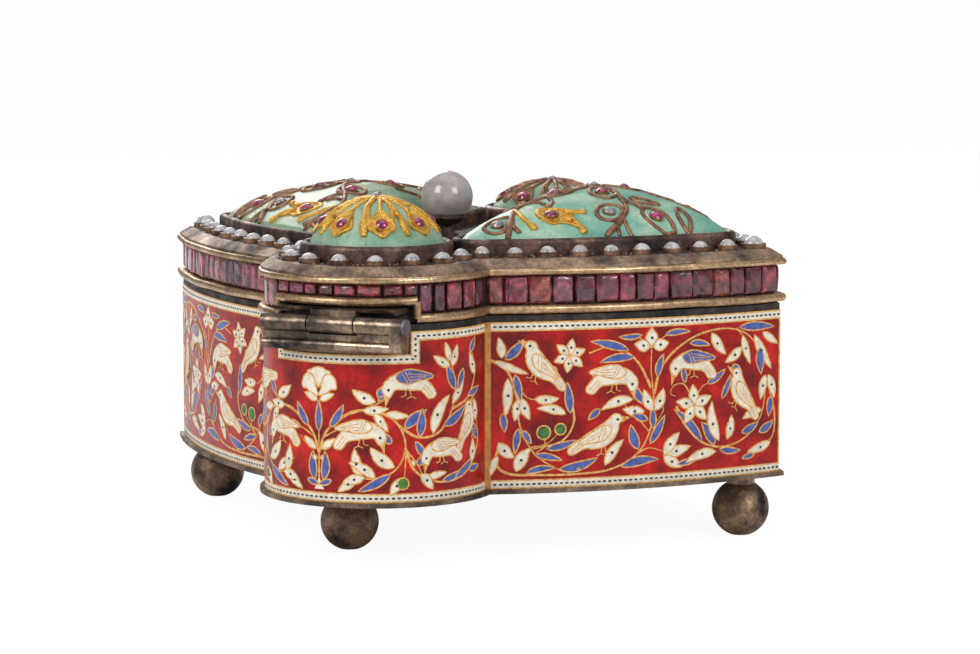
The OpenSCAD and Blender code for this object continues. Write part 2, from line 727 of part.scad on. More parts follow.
set_sink = 1.2;                      // how far a setting reaches down, so that it meets the slope all round
module setting(r) { translate([0, 0, -set_sink]) cylinder(r = r, h = set_sink + set_h, $fn = 24); }
// Low rounded stone on top of its setting
module gem(r) {
    cap_r = (r * r + gem_h * gem_h) / (2 * gem_h);
    translate([0, 0, set_h + SNUG]) intersection() {
        translate([0, 0, gem_h - cap_r]) sphere(cap_r, $fn = 32);
        cylinder(r = r, h = 2 * gem_h, $fn = 24);
    }
}
gem_in = 0.3;                        // rim of a setting that shows round its stone

module wing_settings(h) {
    difference() {
        union() {
            on_wing(wing_ruby_places, h) setting(ruby_set_r);
            on_wing(wing_diamond_places, h) setting(diamond_set_r);
        }
        wing_stone(h);
    }
}
module lobe_settings(h) {
    difference() {
        union() {
            on_lobe(lobe_ruby_places, h) setting(ruby_set_r);
            on_lobe(lobe_diamond_places, h) setting(diamond_set_r);
        }
        lobe_stone(h);
    }
}
module settings_right() { color([0.5, 0.35, 0.25]) wing_settings(right_rise); }
module settings_left() { color([0.5, 0.35, 0.25]) quarter(-1, 1) wing_settings(left_rise); }
module settings_front() { color([0.85, 0.62, 0.2]) translate([0, -lobe_y, 0]) lobe_settings(front_rise); }
module settings_back() { color([0.5, 0.35, 0.25]) translate([0, lobe_y, 0]) lobe_settings(back_rise); }

// All the stones of one kind
module all_gems(wing_places, lobe_places, r) {
    on_wing(wing_places, right_rise) gem(r);
    quarter(-1, 1) on_wing(wing_places, left_rise) gem(r);
    translate([0, -lobe_y, 0]) on_lobe(lobe_places, front_rise) gem(r);
    translate([0, lobe_y, 0]) on_lobe(lobe_places, back_rise) gem(r);
}
module rubies() {
    color([0.6, 0.08, 0.3]) all_gems(wing_ruby_places, lobe_ruby_places, ruby_set_r - gem_in);
}
module diamonds() {
    color([0.75, 0.77, 0.8]) all_gems(wing_diamond_places, lobe_diamond_places, diamond_set_r - gem_in);
}

// Knob

knob_gap = 0.05;                     // between pearl and dish
seat_r = knob_r + knob_gap;          // hollow of the dish
dish_low = knob_z - seat_r - dish_t; // underside of the dish over the lid plate
dish_rim = knob_z - sqrt(seat_r * seat_r - dish_r * dish_r) - 0.2;

module at_knob() { translate([-knob_x, 0, top_z]) children(); }
module knob_stem() {
    foot_r = 2.6;
    foot_t = 0.5;
    stem_r = 1.5;
    color([0.3, 0.26, 0.22]) at_knob() rotate_extrude()
        polygon([[knob_pin_r, 0], [foot_r, 0], [foot_r, foot_t], [stem_r, 2 * foot_t],
                 [stem_r, dish_low], [knob_pin_r, dish_low]]);
}
module knob_dish() {
    color([0.27, 0.25, 0.23]) at_knob() difference() {
        intersection() {
            translate([0, 0, knob_z]) sphere(seat_r + dish_t);
            translate([0, 0, dish_low]) cylinder(r = dish_r, h = dish_rim - dish_low);
        }
        translate([0, 0, knob_z]) sphere(seat_r);
        cylinder(r = knob_pin_r, h = knob_z, $fn = 32);
    }
}
// Pin from the lid plate up into the pearl
module knob_pin() {
    color([0.6, 0.55, 0.45]) at_knob() cylinder(r = knob_pin_r, h = knob_z, $fn = 32);
}
module knob_pearl() {
    color([0.62, 0.59, 0.6]) at_knob() difference() {
        translate([0, 0, knob_z]) sphere(knob_r);
        cylinder(r = knob_pin_r, h = knob_z, $fn = 32);
    }
}

// Thumb piece on the back of the lid, which reaches as far out as the hinge

module thumb_piece() {
    reach = hinge_y + knuckle_r;
    tab_r = thumb_w / 2;
    lift = 0.2;
    color([0.6, 0.48, 0.3]) difference() {
        intersection() {
            translate([-tab_r, lobe_y, lid_z + lift]) cube([thumb_w, reach - lobe_y, thumb_t]);
            translate([0, reach - tab_r, lid_z]) cylinder(r = tab_r, h = 2 * thumb_t);
        }
        translate([0, 0, lid_z - 1]) linear_extrude(FAR) outline(-bead_out);
    }
}

base_plate();
body_wall();
mouth_strip();
enamel_front();
enamel_back();
enamel_front_right();
enamel_front_left();
enamel_back_right();
enamel_back_left();
foot_front();
foot_back();
foot_right();
foot_left();
hinge_body_leaf();
hinge_pin();
lid_wall();
lower_bead();
upper_bead();
ledge();
lid_plate();
garnets_front();
garnets_back();
garnets_front_right();
garnets_front_left();
garnets_back_right();
garnets_back_left();
pearl_cups();
pearls();
dome_right();
dome_left();
dome_front();
dome_back();
bezel_right();
bezel_left();
bezel_front();
bezel_back();
settings_right();
settings_left();
settings_front();
settings_back();
rubies();
diamonds();
knob_stem();
knob_dish();
knob_pin();
knob_pearl();
hinge_lid_leaf();
thumb_piece();
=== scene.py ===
import math

import bmesh
import bpy
import numpy as np
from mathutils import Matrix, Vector, noise
from mathutils.bvhtree import BVHTree


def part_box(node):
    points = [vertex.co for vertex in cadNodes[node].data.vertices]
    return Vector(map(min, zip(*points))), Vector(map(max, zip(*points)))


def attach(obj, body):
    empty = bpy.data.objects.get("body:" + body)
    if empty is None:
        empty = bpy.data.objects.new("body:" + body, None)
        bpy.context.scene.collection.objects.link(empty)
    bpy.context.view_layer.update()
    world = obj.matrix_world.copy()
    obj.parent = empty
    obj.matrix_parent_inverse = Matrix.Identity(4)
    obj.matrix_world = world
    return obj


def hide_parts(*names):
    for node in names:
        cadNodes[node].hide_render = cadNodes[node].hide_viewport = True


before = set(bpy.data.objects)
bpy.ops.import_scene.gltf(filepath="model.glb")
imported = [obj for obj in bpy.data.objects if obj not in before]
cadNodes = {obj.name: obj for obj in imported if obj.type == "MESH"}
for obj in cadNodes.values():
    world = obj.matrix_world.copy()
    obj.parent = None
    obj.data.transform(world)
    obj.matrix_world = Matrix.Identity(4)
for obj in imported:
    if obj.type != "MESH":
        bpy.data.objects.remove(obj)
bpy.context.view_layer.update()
mm = 0.001

# Plan of the box in mm, as its walls are laid out
plan = dict(cornerX=71.5, tipY=56.0, sideR=128.0, lobeY=48.5, lobeR=23.5, beadOut=1.2, pearlIn=5.2)

# Six runs, counterclockwise from the right corner
runNames = ["back_right", "back", "back_left", "front_left", "front", "front_right"]
lobeRuns = (1, 4)
cornerRuns = (0, 3)     # sides that start at a side corner
leftRuns = (2, 3)
hingeRun = 4
runEnd = 0.999999       # share of a run that stays just short of the next one

halfChord = math.hypot(plan["cornerX"], plan["tipY"]) / 2
chordDrop = math.sqrt(plan["sideR"] ** 2 - halfChord ** 2)
sideX = plan["cornerX"] / 2 - chordDrop * plan["tipY"] / (2 * halfChord)
sideY = plan["tipY"] / 2 - chordDrop * plan["cornerX"] / (2 * halfChord)


def innerCorner(inset):
    lobeR, sideR = plan["lobeR"] - inset, plan["sideR"] - inset
    gapX, gapY = sideX, sideY - plan["lobeY"]
    apart = math.hypot(gapX, gapY)
    along = (lobeR ** 2 - sideR ** 2 + apart ** 2) / (2 * apart)
    across = math.sqrt(lobeR ** 2 - along ** 2)
    return (along * gapX - across * gapY) / apart, plan["lobeY"] + (along * gapY + across * gapX) / apart


def sideAngles(inset):
    x, y = innerCorner(inset)
    return math.asin(-sideY / (plan["sideR"] - inset)), math.atan2(y - sideY, x - sideX)


def lobeStart(inset):
    x, y = innerCorner(inset)
    return math.atan2(y - plan["lobeY"], x)


def planPoint(t, inset):
    # t is the number of the run and the share of it that lies behind
    run = int(t) % 6
    share = t - int(t)
    if run in lobeRuns:
        start = lobeStart(inset)
        angle = start + share * (math.pi - 2 * start)
        radius = plan["lobeR"] - inset
        x, y = radius * math.cos(angle), plan["lobeY"] + radius * math.sin(angle)
        return (x, y) if run == 1 else (-x, -y)
    low, high = sideAngles(inset)
    if run in (2, 5):
        share = 1 - share
    angle = low + share * (high - low)
    radius = plan["sideR"] - inset
    x, y = sideX + radius * math.cos(angle), sideY + radius * math.sin(angle)
    return {0: (x, y), 2: (-x, y), 3: (-x, -y), 5: (x, -y)}[run]


sideArc = plan["sideR"] * (sideAngles(0)[1] - sideAngles(0)[0])
lobeArc = plan["lobeR"] * (math.pi - 2 * lobeStart(0))


def runArc(run):
    return lobeArc if run in lobeRuns else sideArc


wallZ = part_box("body_wall")[0].z / mm
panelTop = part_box("enamel_back")[1].z / mm
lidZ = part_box("lid_wall")[0].z / mm
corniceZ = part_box("lid_wall")[1].z / mm
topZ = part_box("lid_plate")[1].z / mm
print("plan ready", round(sideArc, 1), round(lobeArc, 1))


# Making and finishing pieces

def deselectAll():
    for other in bpy.context.selected_objects:
        other.select_set(False)


def useAlone(piece):
    deselectAll()
    piece.select_set(True)
    bpy.context.view_layer.objects.active = piece


def linkPiece(name, mesh, *materials):
    for material in materials:
        mesh.materials.append(material)
    piece = bpy.data.objects.new(name, mesh)
    bpy.context.scene.collection.objects.link(piece)
    return piece


def newPiece(name, verts, faces, *materials):
    mesh = bpy.data.meshes.new(name)
    mesh.from_pydata([(x * mm, y * mm, z * mm) for x, y, z in verts], [], faces)
    return linkPiece(name, mesh, *materials)


def closeUp(piece, smoothAngle=None):
    # Merges doubles, turns the faces outwards and smooths the shading
    useAlone(piece)
    bpy.ops.object.mode_set(mode="EDIT")
    bpy.ops.mesh.select_all(action="SELECT")
    bpy.ops.mesh.remove_doubles(threshold=1e-7)
    bpy.ops.mesh.normals_make_consistent(inside=False)
    bpy.ops.object.mode_set(mode="OBJECT")
    if smoothAngle is not None:
        bpy.ops.object.shade_smooth_by_angle(angle=math.radians(smoothAngle))


def applyModifiers(piece):
    useAlone(piece)
    for modifier in list(piece.modifiers):
        bpy.ops.object.modifier_apply(modifier=modifier.name)


def seat(piece, body, slotName, *nodes):
    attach(piece, body)
    if nodes:
        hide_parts(*nodes)
    return piece


def finish(piece, smoothAngle, body, slotName, *nodes):
    closeUp(piece, smoothAngle)
    return seat(piece, body, slotName, *nodes)


def wave(x, y, z, size, seed=0.0):
    # Even handmade unevenness from -1 to 1, with bumps about size mm wide
    return noise.noise(Vector((x / size, y / size, z / size + seed)))


class Shapes:
    # Gathers many small shapes into one piece
    def __init__(self):
        self.verts = []
        self.faces = []

    def add(self, verts, faces):
        base = len(self.verts)
        self.verts += [tuple(v) for v in verts]
        self.faces += [tuple(base + i for i in face) for face in faces]

    def piece(self, name, material):
        return newPiece(name, self.verts, self.faces, material)


def ringFaces(rows, columns, loopRows, loopColumns, capEnds=False):
    faces = []
    for j in range(rows if loopRows else rows - 1):
        for i in range(columns if loopColumns else columns - 1):
            a, b = j * columns + i, j * columns + (i + 1) % columns
            c, d = ((j + 1) % rows) * columns + (i + 1) % columns, ((j + 1) % rows) * columns + i
            faces.append((a, b, c, d))
    if capEnds:
        faces.append(tuple(range(columns - 1, -1, -1)))
        faces.append(tuple((rows - 1) * columns + i for i in range(columns)))
    return faces


def runStations(start, end, perSide, perLobe):
    stations = [start]
    t = start
    while t < end - 1e-9:
        count = perLobe if int(t + 1e-9) % 6 in lobeRuns else perSide
        t = min(end, math.floor(t + 1e-9) + (round((t - math.floor(t + 1e-9)) * count) + 1) / count)
        stations.append(t)
    return stations


def sweepRun(name, profile, material, start, end, uneven, size, seed):
    # Sweeps a closed profile of (inset, height) points along the plan, uneven mostly inwards
    whole = end - start >= len(runNames)
    stations = runStations(start, end, perSide=90, perLobe=110)
    if whole:
        stations = stations[:-1]
    verts = []
    for t in stations:
        for inset, z in profile:
            x, y = planPoint(t, inset)
            drift = uneven * (0.6 + 0.6 * wave(x, y, z * 3, size, seed))
            rise = uneven * wave(x, y, 0, size * 3, seed + 9)
            x, y = planPoint(t, inset + drift)
            verts.append((x, y, z + rise))
    faces = ringFaces(len(stations), len(profile), whole, True, not whole)
    return newPiece(name, verts, faces, material)


def tubeShape(points, widths, sides=8, loop=False, up=None, flat=1.0):
    # Tube along points with a width at each, flattened along up
    verts = []
    count = len(points)
    for k, point in enumerate(points):
        if loop:
            along = points[(k + 1) % count] - points[k - 1]
        else:
            along = points[min(k + 1, count - 1)] - points[max(k - 1, 0)]
        along.normalize()
        rise = up[k] if up else Vector((0, 0, 1)) if abs(along.z) < 0.9 else Vector((0, 1, 0))
        across = along.cross(rise).normalized()
        rise = across.cross(along).normalized()
        for i in range(sides):
            a = 2 * math.pi * i / sides
            offset = across * (math.cos(a) * widths[k]) + rise * (math.sin(a) * widths[k] * flat)
            verts.append(point + offset)
    return verts, ringFaces(count, sides, loop, True, not loop)


def smoothLine(points, steps=6, loop=False):
    # Curve through given points
    dims = len(points[0])
    count = len(points)
    line = []
    for k in range(count if loop else count - 1):
        p0 = points[k - 1] if loop or k > 0 else points[0]
        p1 = points[k]
        p2 = points[(k + 1) % count]
        p3 = points[(k + 2) % count] if loop or k + 2 < count else points[-1]
        for j in range(steps):
            s = j / steps
            line.append(tuple(
                0.5 * (2 * p1[d] + (p2[d] - p0[d]) * s + (2 * p0[d] - 5 * p1[d] + 4 * p2[d] - p3[d]) * s * s
                       + (3 * p1[d] - p0[d] - 3 * p2[d] + p3[d]) * s ** 3) for d in range(dims)))
    if not loop:
        line.append(tuple(points[-1]))
    return line


# Materials

def startMaterial(name, roughness=0.5, metallic=0.0, specular=0.5, coat=0.0):
    material = bpy.data.materials.new(name)
    material.use_nodes = True
    shader = material.node_tree.nodes["Principled BSDF"]
    shader.inputs["Roughness"].default_value = roughness
    shader.inputs["Metallic"].default_value = metallic
    shader.inputs["Specular IOR Level"].default_value = specular
    shader.inputs["Coat Weight"].default_value = coat
    shader.inputs["Coat Roughness"].default_value = 0.12
    return material, material.node_tree, shader


def addNode(tree, kind, **values):
    node = tree.nodes.new(kind)
    for key, value in values.items():
        setattr(node, key, value)
    return node


def noiseNode(tree, size, detail=4.0, rough=0.6, stretch=(1, 1, 1), offset=(0, 0, 0)):
    # Noise whose features are about size mm wide
    coords = addNode(tree, "ShaderNodeTexCoord")
    mapping = addNode(tree, "ShaderNodeMapping")
    mapping.inputs["Scale"].default_value = stretch
    mapping.inputs["Location"].default_value = offset
    texture = addNode(tree, "ShaderNodeTexNoise")
    texture.inputs["Scale"].default_value = 1 / (size * mm)
    texture.inputs["Detail"].default_value = detail
    texture.inputs["Roughness"].default_value = rough
    tree.links.new(coords.outputs["Object"], mapping.inputs["Vector"])
    tree.links.new(mapping.outputs["Vector"], texture.inputs["Vector"])
    return texture.outputs["Fac"]


def rampNode(tree, source, stops):
    ramp = addNode(tree, "ShaderNodeValToRGB")
    elements = ramp.color_ramp.elements
    while len(elements) < len(stops):
        elements.new(0.5)
    for element, (place, colour) in zip(elements, stops):
        element.position = place
        element.color = (*colour, 1)
    tree.links.new(source, ramp.inputs["Fac"])
    return ramp.outputs["Color"]


def mixNode(tree, factor, first, second, blend="MIX"):
    # Inputs 0, 6 and 7 are the factor and the two colours, and output 2 is the mixed colour
    mix = addNode(tree, "ShaderNodeMix", data_type="RGBA", blend_type=blend)
    for socket, value in ((mix.inputs[0], factor), (mix.inputs[6], first), (mix.inputs[7], second)):
        if isinstance(value, (int, float)):
            socket.default_value = value
        elif isinstance(value, tuple):
            socket.default_value = (*value, 1)
        else:
            tree.links.new(value, socket)
    return mix.outputs[2]


def addBump(tree, shader, source, depth, strength=1.0):
    bump = addNode(tree, "ShaderNodeBump")
    bump.inputs["Distance"].default_value = depth * mm
    bump.inputs["Strength"].default_value = strength
    before = shader.inputs["Normal"].links
    if before:
        tree.links.new(before[0].from_socket, bump.inputs["Normal"])
    tree.links.new(source, bump.inputs["Height"])
    tree.links.new(bump.outputs["Normal"], shader.inputs["Normal"])


def agedMetal(name, light, middle, dark, size=2.5, roughness=0.42, metallic=0.75, depth=0.06, darkShare=0.42):
    material, tree, shader = startMaterial(name, roughness, metallic)
    patches = noiseNode(tree, size * 2, 5, 0.65)
    colour = rampNode(tree, patches, [(darkShare - 0.1, dark), (darkShare + 0.06, middle), (0.68, light)])
    grain = noiseNode(tree, size * 0.18, 3, 0.7)
    speckle = rampNode(tree, grain, [(0.36, (0.45, 0.42, 0.4)), (0.6, (1.08, 1.05, 1.02))])
    tree.links.new(mixNode(tree, 0.75, colour, speckle, "MULTIPLY"), shader.inputs["Base Color"])
    tree.links.new(rampNode(tree, patches, [(0.3, (roughness + 0.2,) * 3), (0.7, (roughness - 0.1,) * 3)]),
                   shader.inputs["Roughness"])
    addBump(tree, shader, patches, depth * 2)
    addBump(tree, shader, grain, depth)
    return material


metals = dict(
    bead=agedMetal("bead_brass", (0.78, 0.55, 0.33), (0.5, 0.34, 0.2), (0.12, 0.08, 0.055),
                   4.5, 0.3, 0.9, 0.05, 0.38),
    ledge=agedMetal("ledge_bronze", (0.5, 0.35, 0.24), (0.25, 0.175, 0.125), (0.045, 0.034, 0.03),
                    3.5, 0.5, 0.65, 0.05, 0.42),
    patina=agedMetal("black_patina", (0.1, 0.075, 0.06), (0.035, 0.03, 0.03), (0.012, 0.011, 0.012),
                     2.0, 0.5, 0.4, 0.1, 0.45),
    bezel=agedMetal("bezel_copper", (0.3, 0.18, 0.14), (0.11, 0.066, 0.056), (0.022, 0.017, 0.016),
                    3.0, 0.45, 0.65, 0.07, 0.43),
    cup=agedMetal("cup_copper", (0.6, 0.33, 0.2), (0.32, 0.18, 0.115), (0.05, 0.035, 0.03),
                  1.6, 0.4, 0.75, 0.05, 0.45),
    bronze=agedMetal("vine_bronze", (0.52, 0.27, 0.15), (0.25, 0.12, 0.07), (0.05, 0.028, 0.02),
                     1.2, 0.42, 0.7, 0.08, 0.38),
    foot=agedMetal("foot_bronze", (0.6, 0.4, 0.26), (0.3, 0.2, 0.13), (0.035, 0.028, 0.028),
                   3.6, 0.42, 0.7, 0.09, 0.46),
    hinge=agedMetal("hinge_bronze", (0.52, 0.39, 0.28), (0.17, 0.13, 0.1), (0.035, 0.03, 0.028),
                    4.0, 0.28, 0.9, 0.025, 0.43),
    base=agedMetal("base_metal", (0.34, 0.25, 0.18), (0.15, 0.11, 0.085), (0.035, 0.03, 0.03),
                   4.0, 0.5, 0.6, 0.08, 0.42),
    wall=agedMetal("inner_metal", (0.5, 0.38, 0.26), (0.36, 0.27, 0.185), (0.14, 0.1, 0.075),
                   6.0, 0.42, 0.75, 0.03, 0.36),
    pin=agedMetal("pin_steel", (0.3, 0.3, 0.32), (0.18, 0.18, 0.2), (0.07, 0.07, 0.08),
                  1.5, 0.42, 0.8, 0.04, 0.36),
    gold=agedMetal("dome_gold", (1.0, 0.66, 0.15), (0.86, 0.45, 0.06), (0.16, 0.06, 0.012),
                   0.8, 0.28, 0.75, 0.16, 0.38),
)


def enamelRed():
    material, tree, shader = startMaterial("red_enamel", 0.3, specular=0.25, coat=0.12)
    clouds = noiseNode(tree, 7.0, 4, 0.6)
    fine = noiseNode(tree, 0.9, 3, 0.6)
    colour = rampNode(tree, clouds, [(0.34, (0.16, 0.004, 0.006)), (0.5, (0.36, 0.006, 0.005)),
                                     (0.66, (0.62, 0.012, 0.007))])
    flecks = rampNode(tree, fine, [(0.3, (0.55, 0.5, 0.6)), (0.55, (1.05, 1.0, 1.0))])
    tree.links.new(mixNode(tree, 0.6, colour, flecks, "MULTIPLY"), shader.inputs["Base Color"])
    addBump(tree, shader, clouds, 0.06)
    return material


def paleEnamel(name, light, dark, size=1.3, roughness=0.35):
    material, tree, shader = startMaterial(name, roughness, coat=0.15)
    clouds = noiseNode(tree, size, 3, 0.55)
    tree.links.new(rampNode(tree, clouds, [(0.32, dark), (0.6, light)]), shader.inputs["Base Color"])
    addBump(tree, shader, clouds, 0.02)
    return material


def turquoiseStone(name, pale, middle, deep, rust):
    material, tree, shader = startMaterial(name, 0.4, coat=0.08)
    clouds = noiseNode(tree, 9.0, 6, 0.62)
    colour = rampNode(tree, clouds, [(0.3, deep), (0.48, middle), (0.66, pale)])
    fine = noiseNode(tree, 0.8, 4, 0.7, offset=(0.4, 0.1, 0))
    mottle = rampNode(tree, fine, [(0.28, (0.66, 0.7, 0.66)), (0.5, (1, 1, 1)), (0.7, (1.12, 1.12, 1.1))])
    colour = mixNode(tree, 0.8, colour, mottle, "MULTIPLY")
    holes = noiseNode(tree, 1.5, 2, 0.5, offset=(0, 0.7, 0.2))
    pits = rampNode(tree, holes, [(0.24, (1, 1, 1)), (0.31, (0, 0, 0))])
    tree.links.new(mixNode(tree, pits, colour, rust), shader.inputs["Base Color"])
    addBump(tree, shader, fine, 0.05)
    addBump(tree, shader, clouds, 0.2)
    return material


def pearlLustre(name, light, shade, warm, size, roughness=0.22):
    material, tree, shader = startMaterial(name, roughness, coat=0.5)
    clouds = noiseNode(tree, size, 3, 0.55)
    tint = noiseNode(tree, size * 2.4, 2, 0.5, offset=(0.3, 0, 0.5))
    colour = rampNode(tree, clouds, [(0.34, shade), (0.62, light)])
    warmth = rampNode(tree, tint, [(0.5, (0, 0, 0)), (0.72, (0.7, 0.7, 0.7))])
    tree.links.new(mixNode(tree, warmth, colour, warm), shader.inputs["Base Color"])
    shader.inputs["Sheen Weight"].default_value = 0.25
    addBump(tree, shader, clouds, 0.03)
    return material


def stoneGlass(name, colours, roughness=0.12, size=2.2):
    # Stones take their own tint from the attribute stoneTint, and a noise darkens and brightens it within:
    # partly the stones' own mottling, partly painted shade of their depth and painted glints
    material, tree, shader = startMaterial(name, roughness, specular=0.8, coat=0.6)
    shader.inputs["Coat Roughness"].default_value = 0.06
    tint = addNode(tree, "ShaderNodeAttribute", attribute_name="stoneTint")
    last = len(colours) - 1
    body = rampNode(tree, tint.outputs["Fac"], [(k / last, colour) for k, colour in enumerate(colours)])
    inside = noiseNode(tree, size, 4, 0.7)
    # Painted shade and painted glints: this ramp darkens the tint to a quarter and brightens it to more than
    # twice, over the stone's own mottling
    depthShadeAndGlints = rampNode(tree, inside, [(0.34, (0.25, 0.22, 0.24)), (0.5, (0.8, 0.75, 0.75)),
                                     (0.64, (2.3, 1.8, 1.9))])
    tree.links.new(mixNode(tree, 0.9, body, depthShadeAndGlints, "MULTIPLY"), shader.inputs["Base Color"])
    shader.inputs["Subsurface Weight"].default_value = 0.15
    shader.inputs["Subsurface Radius"].default_value = (1.2 * mm, 0.3 * mm, 0.3 * mm)
    addBump(tree, shader, inside, 0.12)
    return material


enamels = dict(
    red=enamelRed(),
    cream=paleEnamel("cream_enamel", (0.88, 0.81, 0.67), (0.7, 0.62, 0.48)),
    blue=paleEnamel("blue_enamel", (0.09, 0.14, 0.46), (0.035, 0.06, 0.24)),
    green=paleEnamel("green_enamel", (0.06, 0.22, 0.03), (0.02, 0.09, 0.02)),
    dot=paleEnamel("dark_enamel", (0.03, 0.03, 0.05), (0.01, 0.01, 0.02)),
    line=paleEnamel("gilt_line", (0.86, 0.48, 0.13), (0.5, 0.2, 0.03), 0.8, 0.3),
    strip=paleEnamel("orange_enamel", (0.66, 0.3, 0.06), (0.4, 0.14, 0.03), 1.5, 0.3),
)
stones = dict(
    turquoiseRight=turquoiseStone("turquoise_right", (0.42, 0.58, 0.44), (0.2, 0.43, 0.31),
                                  (0.09, 0.32, 0.27), (0.2, 0.12, 0.06)),
    turquoiseLeft=turquoiseStone("turquoise_left", (0.36, 0.43, 0.28), (0.24, 0.35, 0.22),
                                 (0.14, 0.28, 0.2), (0.18, 0.13, 0.06)),
    turquoiseFront=turquoiseStone("turquoise_front", (0.38, 0.48, 0.34), (0.24, 0.4, 0.27),
                                  (0.15, 0.32, 0.23), (0.2, 0.14, 0.06)),
    pearl=pearlLustre("seed_pearl", (0.54, 0.54, 0.54), (0.28, 0.28, 0.3), (0.4, 0.33, 0.28), 1.6),
    knob=pearlLustre("knob_pearl_lustre", (0.5, 0.43, 0.43), (0.34, 0.27, 0.27), (0.46, 0.29, 0.24), 4.0,
                     0.2),
    garnet=stoneGlass("garnet_glass", [(0.06, 0.01, 0.022), (0.13, 0.018, 0.035), (0.24, 0.035, 0.065),
                                       (0.27, 0.06, 0.05), (0.17, 0.045, 0.09)]),
    ruby=stoneGlass("ruby_stone", [(0.26, 0.006, 0.08), (0.3, 0.01, 0.1)], 0.08, 1.2),
    diamond=stoneGlass("diamond_glass", [(0.26, 0.27, 0.29), (0.5, 0.5, 0.54), (0.4, 0.4, 0.42)], 0.06, 0.8),
)
print("materials ready")


# Enamel pictures, drawn flat in mm along and up each panel, then wrapped round the wall
enamelWork = dict(
    edge=0.3,           # width of the gold round each cell
    stemW=0.6,          # width of a scroll stem
    tendrilW=0.34,
    stemEnd=0.35,       # share of its width that a stem has left at its tip
    featherW=0.17,
    legW=0.2,
    leafHalf=0.45,      # half width of a leaf as a share of its given width
    dotR=0.3,
    budR=0.35,
    goldLift=0.03,      # lifts are heights over the wall
    cellLift=0.045,
    layer=0.012,
    layers=6,
    lineLift=0.08,
    dotLift=0.125,
    birdLift=0.13,
    wingLift=0.15,
    hairLift=0.175,
    depth=0.22,         # thickness of the drawn shapes
    ground=0.8,         # thickness of the red ground
    sidePitch=3.0,      # widths of the strips that a side and a lobe are cut into
    lobePitch=0.9,
    borderW=1.35,
    borderIn=0.95,      # from the panel's edge to the middle of its border
    dashPitch=1.15,
    dash=(0.64, 0.46),
    corner=0.9,         # width of the orange strip at an inner corner
    cornerEnd=0.05,     # what that strip leaves free at the top and bottom
    endLine=0.4,        # width of the gold line at a side corner
)
goldCoats = {None: "line"}
cellCoats = dict(cream="cream", blue="blue", green="green", dot="dot", dash="dot", strip="strip", line="line")


def counterclockwise(outline):
    area = sum(a[0] * b[1] - b[0] * a[1] for a, b in zip(outline, outline[1:] + outline[:1]))
    return outline if area > 0 else outline[::-1]


def circle(u, v, radius, count):
    turns = [2 * math.pi * k / count for k in range(count)]
    return [(u + radius * math.cos(a), v + radius * math.sin(a)) for a in turns]


def stripFaces(count):
    # Faces of a band whose points come in pairs
    return [(2 * k, 2 * k + 1, 2 * k + 3, 2 * k + 2) for k in range(count - 1)]


